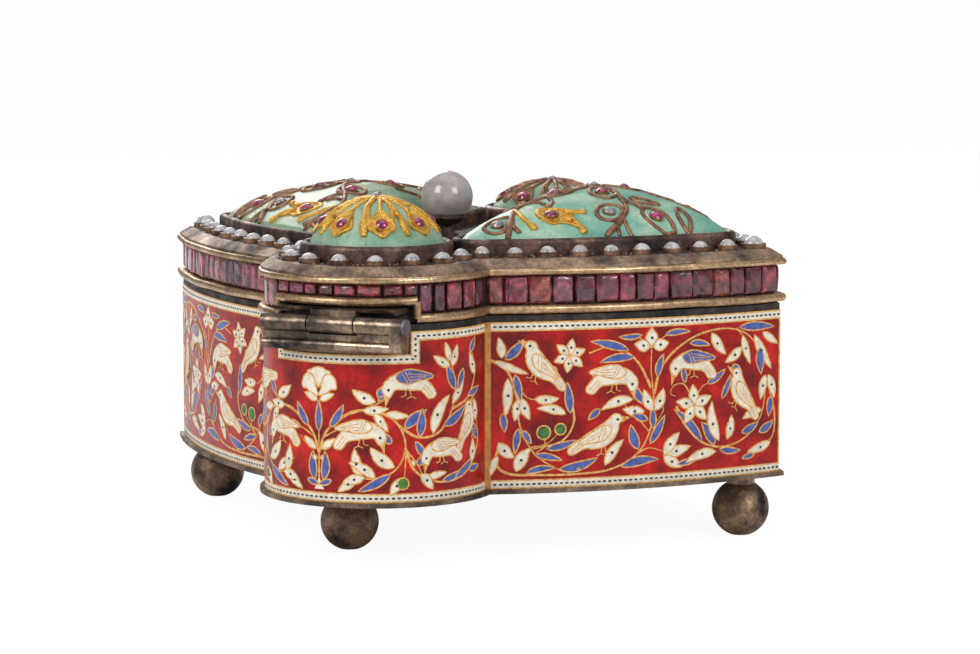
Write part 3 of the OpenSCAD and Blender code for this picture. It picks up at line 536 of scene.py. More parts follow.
class Drawing:
    # Gold shapes and coloured cells of one panel, each as its points, faces, lift and colour
    def __init__(self, mirrorAt=None):
        self.gold = []
        self.cells = []
        self.mirrorAt = mirrorAt
        self.level = 0

    def nextLift(self):
        # Neighbouring cells lie at different heights, so that one of them covers the other cleanly
        self.level += 1
        return enamelWork["cellLift"] + enamelWork["layer"] * (self.level % enamelWork["layers"])

    def put(self, points, faces, lift, colour=None):
        if self.mirrorAt is not None:
            points = [(self.mirrorAt - u, v) for u, v in points]
            faces = [tuple(reversed(face)) for face in faces]
        (self.gold if colour is None else self.cells).append((points, faces, lift, colour))

    def patch(self, outline, colour, lift=None):
        lift = enamelWork["cellLift"] if lift is None else lift
        self.put(counterclockwise(outline), [tuple(range(len(outline)))], lift, colour)

    def block(self, low, high, colour, lift=None):
        (u0, v0), (u1, v1) = low, high
        self.patch([(u0, v0), (u1, v0), (u1, v1), (u0, v1)], colour, lift)

    def ribbon(self, line, widths, lift):
        points = []
        for k, (u, v) in enumerate(line):
            ahead, behind = line[min(k + 1, len(line) - 1)], line[max(k - 1, 0)]
            du, dv = ahead[0] - behind[0], ahead[1] - behind[1]
            length = math.hypot(du, dv) or 1
            half = widths[k] / 2
            across, along = dv / length * half, du / length * half
            points += [(u - across, v + along), (u + across, v - along)]
        self.put(points, stripFaces(len(line)), lift)

    def stem(self, points, width=enamelWork["stemW"]):
        line = smoothLine(points, 7)
        lost = 1 - enamelWork["stemEnd"]
        widths = [width * (1 - lost * k / (len(line) - 1)) for k in range(len(line))]
        self.ribbon(line, widths, enamelWork["goldLift"])

    def hair(self, points, width):
        self.ribbon(points, [width] * len(points), enamelWork["hairLift"])

    def disc(self, u, v, radius, colour, lift):
        self.patch(circle(u, v, radius, 12), colour, lift)

    def cell(self, outline, colour, lift=None):
        # A coloured cell with its gold edge under it
        edge = enamelWork["edge"]
        outline = counterclockwise(outline)
        wide = []
        for k, (u, v) in enumerate(outline):
            a, b = outline[k - 1], outline[(k + 1) % len(outline)]
            du, dv = b[0] - a[0], b[1] - a[1]
            length = math.hypot(du, dv) or 1
            wide.append((u + dv / length * edge, v - du / length * edge))
        lift = self.nextLift() if lift is None else lift
        self.put(wide, [tuple(range(len(outline)))], lift)
        self.patch(outline, colour, lift + enamelWork["layer"] / 2)

    def leaf(self, u, v, angle, length, width, kind="c", bend=0.0):
        # kind is c for cream with a dot, p for plain cream, b for blue
        steps = 9
        turn = math.radians(angle - bend / 2)
        line = [(u, v)]
        for k in range(steps):
            a = turn + math.radians(bend) * (k + 0.5) / steps
            x, y = line[-1]
            line.append((x + math.cos(a) * length / steps, y + math.sin(a) * length / steps))
        left, right = [], []
        for k in range(1, steps):
            x, y = line[k]
            s = k / steps
            half = width * enamelWork["leafHalf"] * math.sin(math.pi * s ** 0.8) ** 1.1
            a = turn + math.radians(bend) * s
            left.append((x - math.sin(a) * half, y + math.cos(a) * half))
            right.append((x + math.sin(a) * half, y - math.cos(a) * half))
        self.cell([line[0]] + right + [line[-1]] + left[::-1], "blue" if kind == "b" else "cream")
        if kind == "c":
            x, y = line[4]
            self.disc(x, y, min(enamelWork["dotR"], width * 0.16), "dot", enamelWork["dotLift"])

    def flower(self, u, v, petals, length, width, turn):
        for k in range(petals):
            angle = turn + 360 * k / petals
            a = math.radians(angle)
            start = enamelWork["dotR"]
            self.leaf(u + start * math.cos(a), v + start * math.sin(a), angle, length, width)
        self.disc(u, v, enamelWork["budR"], None, enamelWork["dotLift"])

    def seed(self, u, v, radius):
        self.cell(circle(u, v, radius, 14), "green")

    def bird(self, u, v, pose, turn=0.0, left=False, size=1.0, wing="cream", ruff=False):
        shape = birds[pose]
        c, s = math.cos(math.radians(turn)), math.sin(math.radians(turn))
        lift, layer = enamelWork["birdLift"], enamelWork["layer"]

        def place(points):
            placed = []
            for x, y in points:
                x, y = (x * c - y * s) * size, (x * s + y * c) * size
                placed.append((u - x if left else u + x, v + y))
            return placed

        if ruff:
            self.cell(place(smoothLine(shape["ruff"], 3, True)), "blue", lift - layer)
        self.cell(place(shape["beak"]), "line", lift - layer / 2)
        self.cell(place(smoothLine(shape["body"], 4, True)), "cream", lift)
        for line in shape["legs"]:
            self.hair(place(line), enamelWork["legW"])
        self.cell(place(smoothLine(shape["wing"], 4, True)), wing, enamelWork["wingLift"])
        for line in shape["feathers"] + shape["tail"]:
            self.hair(place(line), enamelWork["featherW"])
        x, y = place([shape["eye"]])[0]
        self.disc(x, y, enamelWork["dotR"] * size, "dot", enamelWork["hairLift"])


# Birds that look right, about 12 mm long, drawn from the middle of the body
birds = dict(
    perched=dict(
        body=[(5.2, 3.2), (4.7, 4.2), (3.6, 4.4), (2.5, 3.5), (0.8, 2.5), (-1.6, 1.3), (-4.0, 0.0),
            (-6.4, -1.6), (-5.9, -2.7), (-3.2, -1.7), (-1.2, -1.9), (1.0, -1.7), (3.0, -0.5), (4.2, 1.4),
            (4.5, 2.5)],
        beak=[(4.9, 3.9), (7.0, 3.5), (4.9, 2.8)],
        wing=[(2.7, 1.9), (1.2, 2.3), (-1.4, 1.2), (-4.2, -0.6), (-2.0, -0.7), (0.8, -0.5), (2.3, 0.6)],
        feathers=[[(1.7, 2.1), (0.7, -0.4)], [(0.9, 2.1), (-0.1, -0.5)], [(0.3, 1.2), (-3.3, -0.4)],
            [(0.1, 0.4), (-2.6, -0.5)]],
        tail=[[(-3.4, -0.4), (-6.1, -2.0)], [(-3.2, -1.0), (-5.9, -2.4)]],
        legs=[[(0.6, -1.8), (0.2, -3.2), (1.2, -3.5)], [(0.2, -3.2), (-0.7, -3.6)],
            [(1.2, -1.7), (1.3, -2.9), (2.3, -3.1)]],
        eye=(4.3, 3.4),
        ruff=[(3.7, 4.3), (4.6, 4.9), (5.8, 4.6), (5.4, 3.7)],
    ),
    pecking=dict(
        body=[(5.4, -1.9), (5.9, -0.8), (5.2, 0.7), (3.4, 1.9), (1.2, 2.4), (-1.0, 1.8), (-2.9, 0.4),
            (-4.9, -2.6), (-3.4, -3.3), (-1.9, -1.6), (0.2, -1.2), (2.0, -0.9), (3.4, -0.8), (4.2, -1.6),
            (4.7, -2.3)],
        beak=[(4.7, -2.0), (5.6, -4.0), (5.5, -1.8)],
        wing=[(3.0, 1.6), (1.4, 2.6), (-1.0, 2.4), (-4.6, 0.9), (-2.0, 0.5), (0.6, 0.1), (2.4, 0.5)],
        feathers=[[(1.9, 2.3), (0.9, 0.2)], [(1.2, 2.4), (0.3, 0.2)], [(0.6, 2.0), (-3.6, 1.1)],
            [(0.4, 1.3), (-3.0, 0.9)], [(0.3, 0.6), (-1.9, 0.6)]],
        tail=[[(-2.6, -0.6), (-4.4, -2.8)], [(-2.1, -1.0), (-3.8, -3.0)]],
        legs=[[(0.6, -1.1), (0.3, -2.6), (1.3, -3.0)], [(0.3, -2.6), (-0.6, -3.1)],
            [(1.3, -1.0), (1.5, -2.3), (2.4, -2.5)]],
        eye=(4.8, -0.9),
        ruff=[(5.6, -0.3), (6.8, -0.9), (6.9, -2.0), (5.6, -1.6)],
    ),
)

# Picture of a curved side, drawn for the front right one with its inner corner at the left
sideDrawing = dict(
    stems=[
        [(2.7, 9.6), (2.0, 5.4), (4.6, 3.2), (10.2, 2.8), (18.4, 2.7), (26.4, 3.4), (32.3, 6.4),
         (35.3, 11.6), (35.9, 17.6), (35.3, 23.6), (35.4, 28.0)],
        [(36.0, 18.6), (37.6, 24.0), (41.4, 28.0), (46.8, 30.7), (53.2, 31.5), (58.6, 29.9), (62.6, 25.6)],
        [(35.3, 20.0), (32.4, 25.4), (28.0, 28.8), (22.8, 30.2)],
        [(41.2, 15.8), (43.4, 11.6), (47.6, 7.7), (53.0, 6.5), (58.6, 8.3), (62.4, 12.6), (63.6, 19.4)],
        [(1.0, 26.8), (4.4, 24.4), (6.2, 19.4), (7.1, 12.6), (10.4, 6.8), (16.2, 3.2)],
        [(17.6, 18.2), (18.4, 13.8), (15.9, 9.8), (9.6, 8.2)],
        [(64.2, 19.2), (66.0, 12.6), (65.4, 7.6), (61.6, 5.6)]],
    tendrils=[[(9.4, 8.6), (12.6, 9.2), (15.0, 11.4)], [(10.4, 7.4), (12.2, 8.8), (11.9, 10.8)],
        [(32.4, 6.4), (35.0, 7.4), (38.4, 6.4)],
        [(44.2, 18.6), (42.8, 20.4), (40.6, 20.2), (39.8, 18.6), (41.0, 17.9)],
        [(45.6, 17.4), (47.4, 19.6), (49.2, 20.4)], [(34.4, 28.6), (32.2, 31.0), (29.0, 31.3)],
        [(36.6, 28.8), (38.4, 30.6), (41.6, 31.5)], [(6.4, 21.4), (8.6, 18.9), (11.0, 18.4)],
        [(55.8, 31.4), (57.8, 29.0), (57.4, 26.8)], [(21.6, 27.8), (26.0, 29.0), (30.0, 28.0)],
        [(34.8, 11.0), (31.4, 14.8), (28.6, 17.4)], [(36.4, 17.4), (38.2, 15.4), (36.4, 12.6)]],
    flowers=[(17.4, 27.4, 6, 3.1, 1.7, 80), (45.4, 15.8, 5, 3.9, 2.1, 95), (35.4, 28.6, 1, 3.5, 2.7, 90)],
    leaves=[(34.9, 28.6, 168, 3.3, 2.4), (35.9, 28.6, 12, 3.3, 2.4), (3.2, 27.4, 100, 4.0, 1.6, "p", 20),
        (3.9, 27.0, 46, 5.4, 1.8, "b", 25), (1.8, 26.6, -22, 7.2, 1.2, "p", 10),
        (4.4, 22.8, -94, 7.6, 1.9, "c", -18), (6.0, 23.6, -78, 5.4, 1.4, "b"),
        (6.6, 18.6, -100, 4.4, 1.8, "c", -10), (7.4, 18.6, -70, 4.4, 1.8, "c", 20),
        (10.2, 18.6, 0, 4.8, 1.7, "c", 24), (16.4, 15.4, 168, 6.0, 1.7, "c", 34),
        (17.6, 15.6, 96, 6.2, 1.6, "b"), (3.4, 15.6, -84, 3.6, 1.3, "b"), (6.6, 12.4, -98, 5.0, 1.3, "b"),
        (7.6, 12.0, -58, 3.0, 1.1, "b"), (2.6, 9.6, -44, 4.4, 2.2, "c", 40),
        (2.2, 6.8, -110, 4.0, 1.2, "p", 12), (6.2, 3.8, 58, 5.4, 2.5, "c", -30),
        (8.4, 3.3, 8, 6.0, 1.1, "b", -28), (10.2, 6.9, -12, 5.6, 1.1, "b", -16),
        (12.6, 8.2, 14, 6.4, 1.3, "b", 18), (15.4, 3.9, 14, 8.2, 1.8, "b", 30),
        (28.8, 3.8, 8, 8.2, 1.8, "b", -26), (25.2, 4.4, 52, 6.4, 1.9, "c", -30),
        (32.4, 7.4, 108, 5.2, 2.0, "b", -20), (35.2, 8.4, 60, 6.4, 1.5, "b", 8),
        (35.8, 11.6, 92, 4.4, 1.2, "b"), (35.6, 15.4, 114, 4.6, 2.0, "c", -28),
        (36.2, 15.4, 66, 4.6, 2.0, "c", 28), (33.6, 16.8, 124, 5.4, 1.5, "b"),
        (33.6, 15.2, 172, 4.6, 2.0, "c", -24), (31.0, 17.8, 196, 7.0, 1.9, "c", 40),
        (34.4, 13.4, 160, 3.4, 1.3, "b"), (23.8, 16.0, 220, 3.0, 1.2, "b"),
        (30.0, 28.2, 166, 8.2, 1.6, "b", 12), (31.4, 26.6, 186, 7.4, 1.5, "b", 24),
        (33.0, 31.1, 182, 4.8, 0.9, "b", -20), (38.6, 31.0, 4, 5.6, 1.0, "b", -20),
        (36.8, 22.4, 74, 4.6, 1.3, "b", -30), (44.4, 28.9, -8, 4.6, 1.1, "b", -24),
        (49.6, 30.6, -54, 5.6, 1.9, "c", 20), (56.9, 27.2, 216, 4.8, 1.9, "c", -24),
        (57.4, 29.6, -72, 6.2, 1.5, "c", 12), (60.4, 29.6, -58, 8.6, 1.9, "c", 10),
        (56.6, 31.5, -2, 9.0, 1.7, "b", -10), (62.6, 30.0, -32, 4.6, 1.4, "p"),
        (61.8, 26.8, -86, 5.4, 1.9, "b", 10), (43.2, 20.8, 100, 3.4, 1.0, "b"),
        (48.6, 20.2, 32, 5.0, 1.2, "b", 24), (47.2, 8.0, 132, 9.6, 1.6, "b", 22),
        (50.2, 7.2, 122, 5.6, 2.2, "b", 30), (51.4, 8.0, 102, 8.6, 2.2, "c", -42),
        (53.6, 8.2, 78, 4.8, 1.7, "c", 20), (52.2, 16.8, 66, 5.2, 1.0, "b", 12),
        (57.4, 9.2, 24, 4.4, 1.5, "b", 26), (62.2, 13.6, 198, 4.8, 1.9, "c", 24),
        (63.4, 20.8, -104, 5.0, 1.8, "c", 16), (64.2, 20.8, -72, 5.0, 1.8, "c", -16),
        (64.8, 16.2, -96, 4.0, 1.4, "b"), (62.0, 9.0, 30, 4.0, 1.6, "b", 30),
        (64.8, 6.6, 196, 6.2, 1.8, "c", -20), (60.4, 4.2, 190, 3.0, 0.9, "b"),
        (51.8, 6.0, -6, 5.0, 1.2, "b", 20), (50.6, 5.6, 194, 7.4, 1.9, "c", 34),
        (38.4, 5.9, 52, 5.4, 2.2, "c", -16), (38.6, 5.7, 14, 6.0, 2.2), (38.4, 5.4, -30, 4.8, 2.0, "c", 16),
        (41.6, 3.6, 12, 4.8, 1.0, "b", 16), (22.6, 24.0, 300, 2.6, 1.1, "b"),
        (14.6, 24.6, 180, 2.4, 1.1, "b")],
    seeds=[(11.9, 11.6, 1.3), (15.5, 12.2, 1.05)],
    birds=[(11.4, 25.0, "perched", 24, True, 0.96), (26.2, 22.4, "pecking", -6, False, 1.02),
        (23.6, 10.0, "perched", 4, False, 1.02), (45.6, 24.6, "pecking", 0, True, 1.0, "blue"),
        (57.2, 17.0, "perched", 34, True, 0.94, "cream", True)],
)


def sidePicture(mirror):
    art = Drawing(sideArc if mirror else None)
    for line in sideDrawing["stems"]:
        art.stem(line)
    for line in sideDrawing["tendrils"]:
        art.stem(line, enamelWork["tendrilW"])
    for flower in sideDrawing["flowers"]:
        art.flower(*flower)
    for leaf in sideDrawing["leaves"]:
        art.leaf(*leaf)
    for seed in sideDrawing["seeds"]:
        art.seed(*seed)
    for bird in sideDrawing["birds"]:
        art.bird(*bird)
    art.mirrorAt = None     # the border that follows isn't mirrored
    return art


# Picture of a round lobe, whose stems and leaves stand on both sides of its middle
lobeDrawing = dict(
    holeShift=2.2, holeBloomV=23.8, bloomV=24.6,
    bloomSize=(0.84, 0.8, 0.72),
    stems=[[(0, 10), (1.6, 14.2), (5.2, 17.4), (9.6, 19.0), (13.6, 20.8)],
        [(2.8, 15.6), (7.6, 18.6), (12.8, 18.4), (16.6, 15.8), (18.0, 11.2), (16.0, 6.8), (11.6, 5.0),
         (7.6, 5.4)], [(16.8, 15.6), (20.6, 13.2), (25.2, 13.8), (28.4, 17.8), (29.6, 23.0), (28.2, 28.6)],
        [(18.0, 11.0), (19.8, 6.6), (24.2, 4.0), (30.0, 3.9), (34.8, 6.6)],
        [(28.8, 18.4), (33.4, 20.4), (35.8, 25.4), (34.2, 30.4)],
        [(34.4, 6.4), (37.0, 11.0), (36.2, 15.8)]],
    tendrils=[[(18.1, 10.4), (17.9, 6.6), (17.6, 4.4)], [(18.2, 10.6), (20.4, 7.8), (21.6, 5.4)],
        [(1.2, 13.2), (4.4, 14.8), (8.0, 15.0)], [(0.6, 11.2), (3.2, 11.8), (4.6, 13.2)]],
    leaves=[(2.6, 15.4, 58, 5.2, 1.4, "b", 20), (4.6, 14.8, 6, 5.6, 1.4, "b", -22),
        (0.8, 10.8, 38, 3.4, 1.3, "p"), (11.8, 20.6, 152, 5.0, 2.1, "c", -30),
        (12.6, 20.8, 58, 4.6, 1.3, "b", 20), (9.6, 18.8, 4, 4.8, 1.7, "c", 12),
        (14.2, 18.2, -8, 4.4, 1.4, "p", 14), (11.8, 18.2, -54, 4.4, 1.5),
        (18.0, 15.2, 38, 5.6, 2.0, "b", -24), (21.0, 13.4, 84, 5.4, 1.7, "b", 12),
        (24.0, 13.8, 62, 8.6, 2.3, "c", -44), (26.6, 15.2, 32, 6.8, 1.8, "b", 30),
        (28.8, 19.6, 56, 5.4, 1.5, "c", 12), (29.4, 22.4, 112, 5.4, 1.7, "b"),
        (28.6, 27.2, 70, 4.2, 1.5, "c", 14), (28.0, 27.2, 150, 4.4, 1.6, "c", -16),
        (28.2, 28.2, 108, 3.8, 1.3, "p"), (33.6, 20.8, 20, 3.8, 1.3, "b", 16), (35.6, 24.8, 110, 4.8, 1.6),
        (34.2, 29.6, 60, 3.0, 1.2, "b"), (11.8, 5.2, 150, 6.0, 1.8, "c", 30),
        (9.6, 5.2, 196, 4.6, 1.8, "c", 16), (8.6, 5.6, 100, 5.4, 2.0, "c", -12), (8.0, 5.0, 216, 4.6, 1.7),
        (14.8, 5.8, 208, 7.2, 1.6, "b", -16), (15.6, 7.4, 140, 6.2, 2.4, "c", -40),
        (17.4, 4.8, 232, 4.0, 1.9, "c", 16), (21.4, 5.6, -52, 4.0, 1.9, "c", -16),
        (19.4, 8.4, -64, 0.9, 0.6, "p"), (20.2, 12.2, -58, 4.4, 1.2, "b"),
        (22.6, 4.6, 12, 4.6, 1.2, "p", -18), (26.4, 4.0, 18, 4.8, 1.2, "b", 24),
        (29.6, 4.3, 34, 6.2, 1.4, "b", 24), (34.6, 7.0, 86, 4.6, 1.7, "c", 12),
        (36.8, 11.4, 122, 4.6, 1.5, "b"), (36.0, 15.4, 96, 4.2, 1.6), (33.8, 5.4, 8, 3.4, 1.3, "b"),
        (2.6, 4.4, 200, 2.6, 1.0, "b"), (31.8, 26.2, 250, 4.2, 1.3, "b")],
    petal=[(0.2, -2.6), (2.0, -2.0), (3.4, -1.0), (4.6, -0.8), (4.4, 0.9), (3.6, 2.2), (2.2, 2.4), (1.2, 1.0),
        (0.9, -0.8)],
    fan=[(0, -0.6), (1.0, 1.4), (2.5, 2.7), (3.0, 3.5), (1.9, 3.9), (1.0, 4.5), (0, 4.7), (-1.0, 4.5),
        (-1.9, 3.9), (-3.0, 3.5), (-2.5, 2.7), (-1.0, 1.4)],
    birds=[(19.4, 24.2, "pecking", -4, True, 1.02, "blue", True),
        (8.2, 14.2, "pecking", 0, False, 0.98, "cream", True),
        (26.6, 10.2, "pecking", -8, True, 0.9, "cream", True),
        (-9.4, 14.0, "pecking", 0, True, 0.94, "cream", True),
        (-18.6, 23.2, "perched", -30, True, 0.96, "cream", True), (-26.4, 9.0, "perched", 10, False, 0.86),
        (33.0, 14.4, "perched", 42, False, 0.8)],
)


def lobePicture(holeTop):
    # holeTop leaves room for the hinge
    art = Drawing()
    middle = lobeArc / 2 - (lobeDrawing["holeShift"] if holeTop else 0)
    bloom = lobeDrawing["holeBloomV" if holeTop else "bloomV"]
    bloomW, petalH, fanH = lobeDrawing["bloomSize"]

    def sideLeaf(side, u, v, angle, length, width, kind="c", bend=0.0):
        art.leaf(middle + side * u, v, angle if side > 0 else 180 - angle, length, width, kind, bend * side)

    for side in (-1, 1):
        for line in lobeDrawing["stems"]:
            art.stem([(middle + side * u, v) for u, v in line])
        for line in lobeDrawing["tendrils"]:
            art.stem([(middle + side * u, v) for u, v in line], enamelWork["tendrilW"])
        for leaf in lobeDrawing["leaves"]:
            sideLeaf(side, *leaf)
        art.seed(middle + side * 17.5, 3.9, 1.05)
        sideLeaf(side, 0.5, 8.8, 20, 0.9, 0.6, "p")
        sideLeaf(side, 1.0, 4.6, 86, 5.6, 1.7, "b", 26)
        sideLeaf(side, 0.4, bloom - 3.2, 24, 3.2, 1.3, "p", -24)
    art.stem([(middle, 3.4), (middle, 9.0), (middle, bloom - 4.0)], 0.5)
    art.leaf(middle, bloom - 9.4, 90, 6.0, 1.3, "b")
    art.patch([(middle - 1.1, 2.5), (middle + 1.1, 2.5), (middle, 4.9)], "cream")
    for side in (-1, 1):
        petal = smoothLine(lobeDrawing["petal"], 3, True)
        art.cell([(middle + side * x * bloomW, bloom + y * petalH) for x, y in petal], "cream")
    fan = smoothLine(lobeDrawing["fan"], 3, True)
    art.cell([(middle + x * bloomW, bloom + y * fanH) for x, y in fan], "cream")
    art.disc(middle, bloom - 1.2, enamelWork["dotR"], "dot", enamelWork["hairLift"])
    if not holeTop:
        for side in (-1, 1):
            sideLeaf(side, 5.6, 29.6, 20, 5.0, 1.8, "c", 20)
            sideLeaf(side, 12.4, 30.2, -6, 4.6, 1.4, "b")
    for u, *bird in lobeDrawing["birds"]:
        art.bird(middle + u, *bird)
    return art


def borderBand(art, line):
    # Cream border with gold edges and a row of dark dashes, on straight stretches with square corners
    half, edge, layer = enamelWork["borderW"] / 2, enamelWork["edge"], enamelWork["layer"]

    def offset(amount):
        shifted = []
        for k, (u, v) in enumerate(line):
            parts = []
            for a, b in ((k - 1, k), (k, k + 1)):
                if a >= 0 and b < len(line):
                    du, dv = line[b][0] - line[a][0], line[b][1] - line[a][1]
                    size = math.hypot(du, dv)
                    parts.append((-dv / size, du / size))
            shifted.append((u + amount * sum(p[0] for p in parts), v + amount * sum(p[1] for p in parts)))
        return shifted

    def strip(reach, lift, colour):
        points = [p for pair in zip(offset(reach), offset(-reach)) for p in pair]
        art.put(points, stripFaces(len(line)), lift, colour)

    strip(half + edge, enamelWork["goldLift"] - layer, None)
    strip(half, enamelWork["cellLift"] - layer, "cream")
    dashL, dashH = enamelWork["dash"]
    for (u0, v0), (u1, v1) in zip(line, line[1:]):
        count = max(1, int(math.hypot(u1 - u0, v1 - v0) / enamelWork["dashPitch"]))
        for k in range(count):
            s = (k + 0.5) / count
            u, v = u0 + (u1 - u0) * s, v0 + (v1 - v0) * s
            a, b = (dashL, dashH) if abs(u1 - u0) > abs(v1 - v0) else (dashH, dashL)
            b *= 0.8 + 0.25 * wave(u, v, 3, 1.7)
            art.block((u - a / 2, v - b / 2), (u + a / 2, v + b / 2), "dash", enamelWork["lineLift"] - layer)


def wrapFlat(name, flat, materials, run, thickness):
    # Cuts flat shapes into narrow strips, wraps them round the wall and gives them their thickness
    arc = runArc(run)
    pitch = enamelWork["lobePitch" if run in lobeRuns else "sidePitch"]
    cut = pitch
    while cut < arc:
        geometry = flat.verts[:] + flat.edges[:] + flat.faces[:]
        bmesh.ops.bisect_plane(flat, geom=geometry, plane_co=(cut, 0, 0), plane_no=(1, 0, 0))
        cut += pitch
    for vert in flat.verts:
        u, v, lift = vert.co
        x, y = planPoint(run + min(max(u / arc, 0.0), runEnd), -lift)
        vert.co = (x * mm, y * mm, (wallZ + v) * mm)
    mesh = bpy.data.meshes.new(name)
    flat.to_mesh(mesh)
    flat.free()
    piece = linkPiece(name, mesh, *materials)
    skin = piece.modifiers.new("skin", "SOLIDIFY")
    skin.thickness = thickness * mm
    skin.offset = -1
    applyModifiers(piece)
    return piece


def groundSlab(name, run, outline):
    flat = bmesh.new()
    flat.faces.new([flat.verts.new((u, v, 0)) for u, v in outline])
    slab = wrapFlat(name, flat, [enamels["red"]], run, enamelWork["ground"])
    useAlone(slab)
    bpy.ops.object.shade_smooth_by_angle(angle=math.radians(30))
    return slab


def wrapPicture(name, entries, coats, run):
    # coats gives the enamel of each colour
    flat = bmesh.new()
    colours = list(coats)
    for points, faces, lift, colour in entries:
        verts = [flat.verts.new((u, v, lift)) for u, v in points]
        for face in faces:
            made = flat.faces.new([verts[i] for i in face])
            made.material_index = colours.index(colour)
            made.normal_update()
    return wrapFlat(name, flat, [enamels[coat] for coat in coats.values()], run, enamelWork["depth"])


panelH = panelTop - wallZ
hinge = dict(middle=2.0, length=31.0, knuckleR=1.8, holeIn=1.95, holeUnder=0.9, leafH=3.3, barrelGap=0.3)
leafZ = lidZ - hinge["knuckleR"] - hinge["barrelGap"] - hinge["leafH"]
holeZ = leafZ - hinge["holeUnder"]
holeLeft = hinge["middle"] - hinge["length"] / 2 + hinge["holeIn"]
holeRight = hinge["middle"] + hinge["length"] / 2 - hinge["holeIn"]


def lobeAlong(x):
    return lobeArc / 2 + plan["lobeR"] * math.asin(x / plan["lobeR"])


def enamelPanel(key, run):
    arc = runArc(run)
    lobe, mirror = run in lobeRuns, run in cornerRuns
    inset = enamelWork["borderIn"]
    top = panelH - inset
    outline = [(0.0, 0.0), (arc, 0.0), (arc, panelH), (0.0, panelH)]
    upper = [(0.0, top), (arc, top)]
    if run == hingeRun:
        left, right, low = lobeAlong(holeLeft), lobeAlong(holeRight), holeZ - wallZ
        outline[3:3] = [(right, panelH), (right, low), (left, low), (left, panelH)]
        upper[1:1] = [(left - inset, top), (left - inset, low - inset), (right + inset, low - inset),
                      (right + inset, top)]
    slab = groundSlab("enamel_ground_" + key, run, outline)
    seat(slab, "box", "enamel", "enamel_" + key)
    art = lobePicture(run == hingeRun) if lobe else sidePicture(mirror)
    borderBand(art, [(0.0, inset), (arc, inset)])
    borderBand(art, upper)
    corner, free = enamelWork["corner"], enamelWork["cornerEnd"]
    innerEnds = (0.0, arc - corner) if lobe else ((arc - corner,) if mirror else (0.0,))
    for u in innerEnds:
        art.block((u, free), (u + corner, panelH - free), "strip", enamelWork["lineLift"])
    if not lobe:
        width = enamelWork["endLine"]
        u = 0.0 if mirror else arc - width
        art.block((u, 2 * inset), (u + width, panelH - 2 * inset), "line")
    gold = wrapPicture("gilt_lines_" + key, art.gold, goldCoats, run)
    seat(gold, "box", "gold")
    cells = wrapPicture("enamel_cells_" + key, art.cells, cellCoats, run)
    seat(cells, "box", "enamel")
    print("enamel", key, len(gold.data.polygons), len(cells.data.polygons))


for run, key in enumerate(runNames):
    enamelPanel(key, run)


# Materials on the parts that are shown as they are
def dress(material, *names):
    for name in names:
        mesh = cadNodes[name].data
        mesh.materials.clear()
        mesh.materials.append(material)


dress(metals["wall"], "body_wall")
dress(metals["patina"], "lid_wall", "lid_plate", "mouth_strip")
dress(metals["base"], "base_plate")
dress(metals["ledge"], "ledge")
dress(metals["foot"], "foot_front", "foot_back", "foot_right", "foot_left")
dress(metals["hinge"], "hinge_body_leaf", "hinge_lid_leaf")
dress(metals["pin"], "hinge_pin")
dress(metals["bead"], "thumb_piece")
dress(metals["cup"], "pearl_cups")
dress(metals["bezel"], "bezel_right", "bezel_left", "bezel_front", "bezel_back", "knob_stem", "knob_dish")
dress(metals["bronze"], "settings_right", "settings_left", "settings_back", "knob_pin")
dress(metals["gold"], "settings_front")
dress(stones["knob"], "knob_pearl")
dress(stones["ruby"], "rubies")
dress(stones["diamond"], "diamonds")
dress(stones["turquoiseRight"], "dome_right")
dress(stones["turquoiseLeft"], "dome_left", "dome_back")
dress(stones["turquoiseFront"], "dome_front")
print("parts dressed")


# Beads of the lid, hammered by hand; the lower one steps up over the hinge
beads = dict(lowR=0.9, topR=0.7, wallInset=1.25, uneven=0.18, bump=4.5, notchOut=1.0, postR=0.82)
notchLeft = hingeRun + lobeAlong(holeLeft - beads["notchOut"]) / lobeArc
notchRight = hingeRun + lobeAlong(holeRight + beads["notchOut"]) / lobeArc
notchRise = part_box("lower_bead")[1].z / mm - lidZ - 2 * beads["lowR"]


def beadProfile(radius, z):
    inset = radius - plan["beadOut"]
    turns = [math.pi * (0.5 + k / 9) for k in range(10)]
    shelf = 0.8 * radius
    return ([(beads["wallInset"], z + shelf), (inset, z + radius)] +
            [(inset + radius * math.cos(a), z + radius * math.sin(a)) for a in turns[1:-1]] +
            [(inset, z - radius), (beads["wallInset"], z - shelf)])


def hammeredBead(name, radius, z, start, end, uneven, seed, *nodes):
    bead = sweepRun(name, beadProfile(radius, z), metals["bead"], start, end, uneven, beads["bump"], seed)
    finish(bead, 40, "lid", "bead_gilt", *nodes)


lowZ = lidZ + beads["lowR"]
lowR, topR, uneven = beads["lowR"], beads["topR"], beads["uneven"]
hammeredBead("lower_bead_hammered", lowR, lowZ, notchRight, len(runNames) + notchLeft,
             uneven, 2.0, "lower_bead")
hammeredBead("notch_bead_hammered", lowR, lowZ + notchRise, notchLeft, notchRight, uneven, 4.0)
posts = Shapes()
for t in (notchLeft, notchRight):
    x, y = planPoint(t, beads["lowR"] - plan["beadOut"])
    line = []
    for z in np.linspace(0, notchRise, 7):
        line.append(Vector((x + 0.1 * wave(x, y, z, 2), y + 0.1 * wave(y, x, z, 2), lowZ + z)))
    posts.add(*tubeShape(line, [beads["postR"] + 0.06 * wave(x, y, k, 2) for k in range(7)], 12))
finish(posts.piece("notch_posts", metals["bead"]), 50, "lid", "bead_gilt")
hammeredBead("upper_bead_hammered", topR, corniceZ - topR, 0.0, 6.0, uneven * 0.8, 7.0, "upper_bead")
print("beads ready")


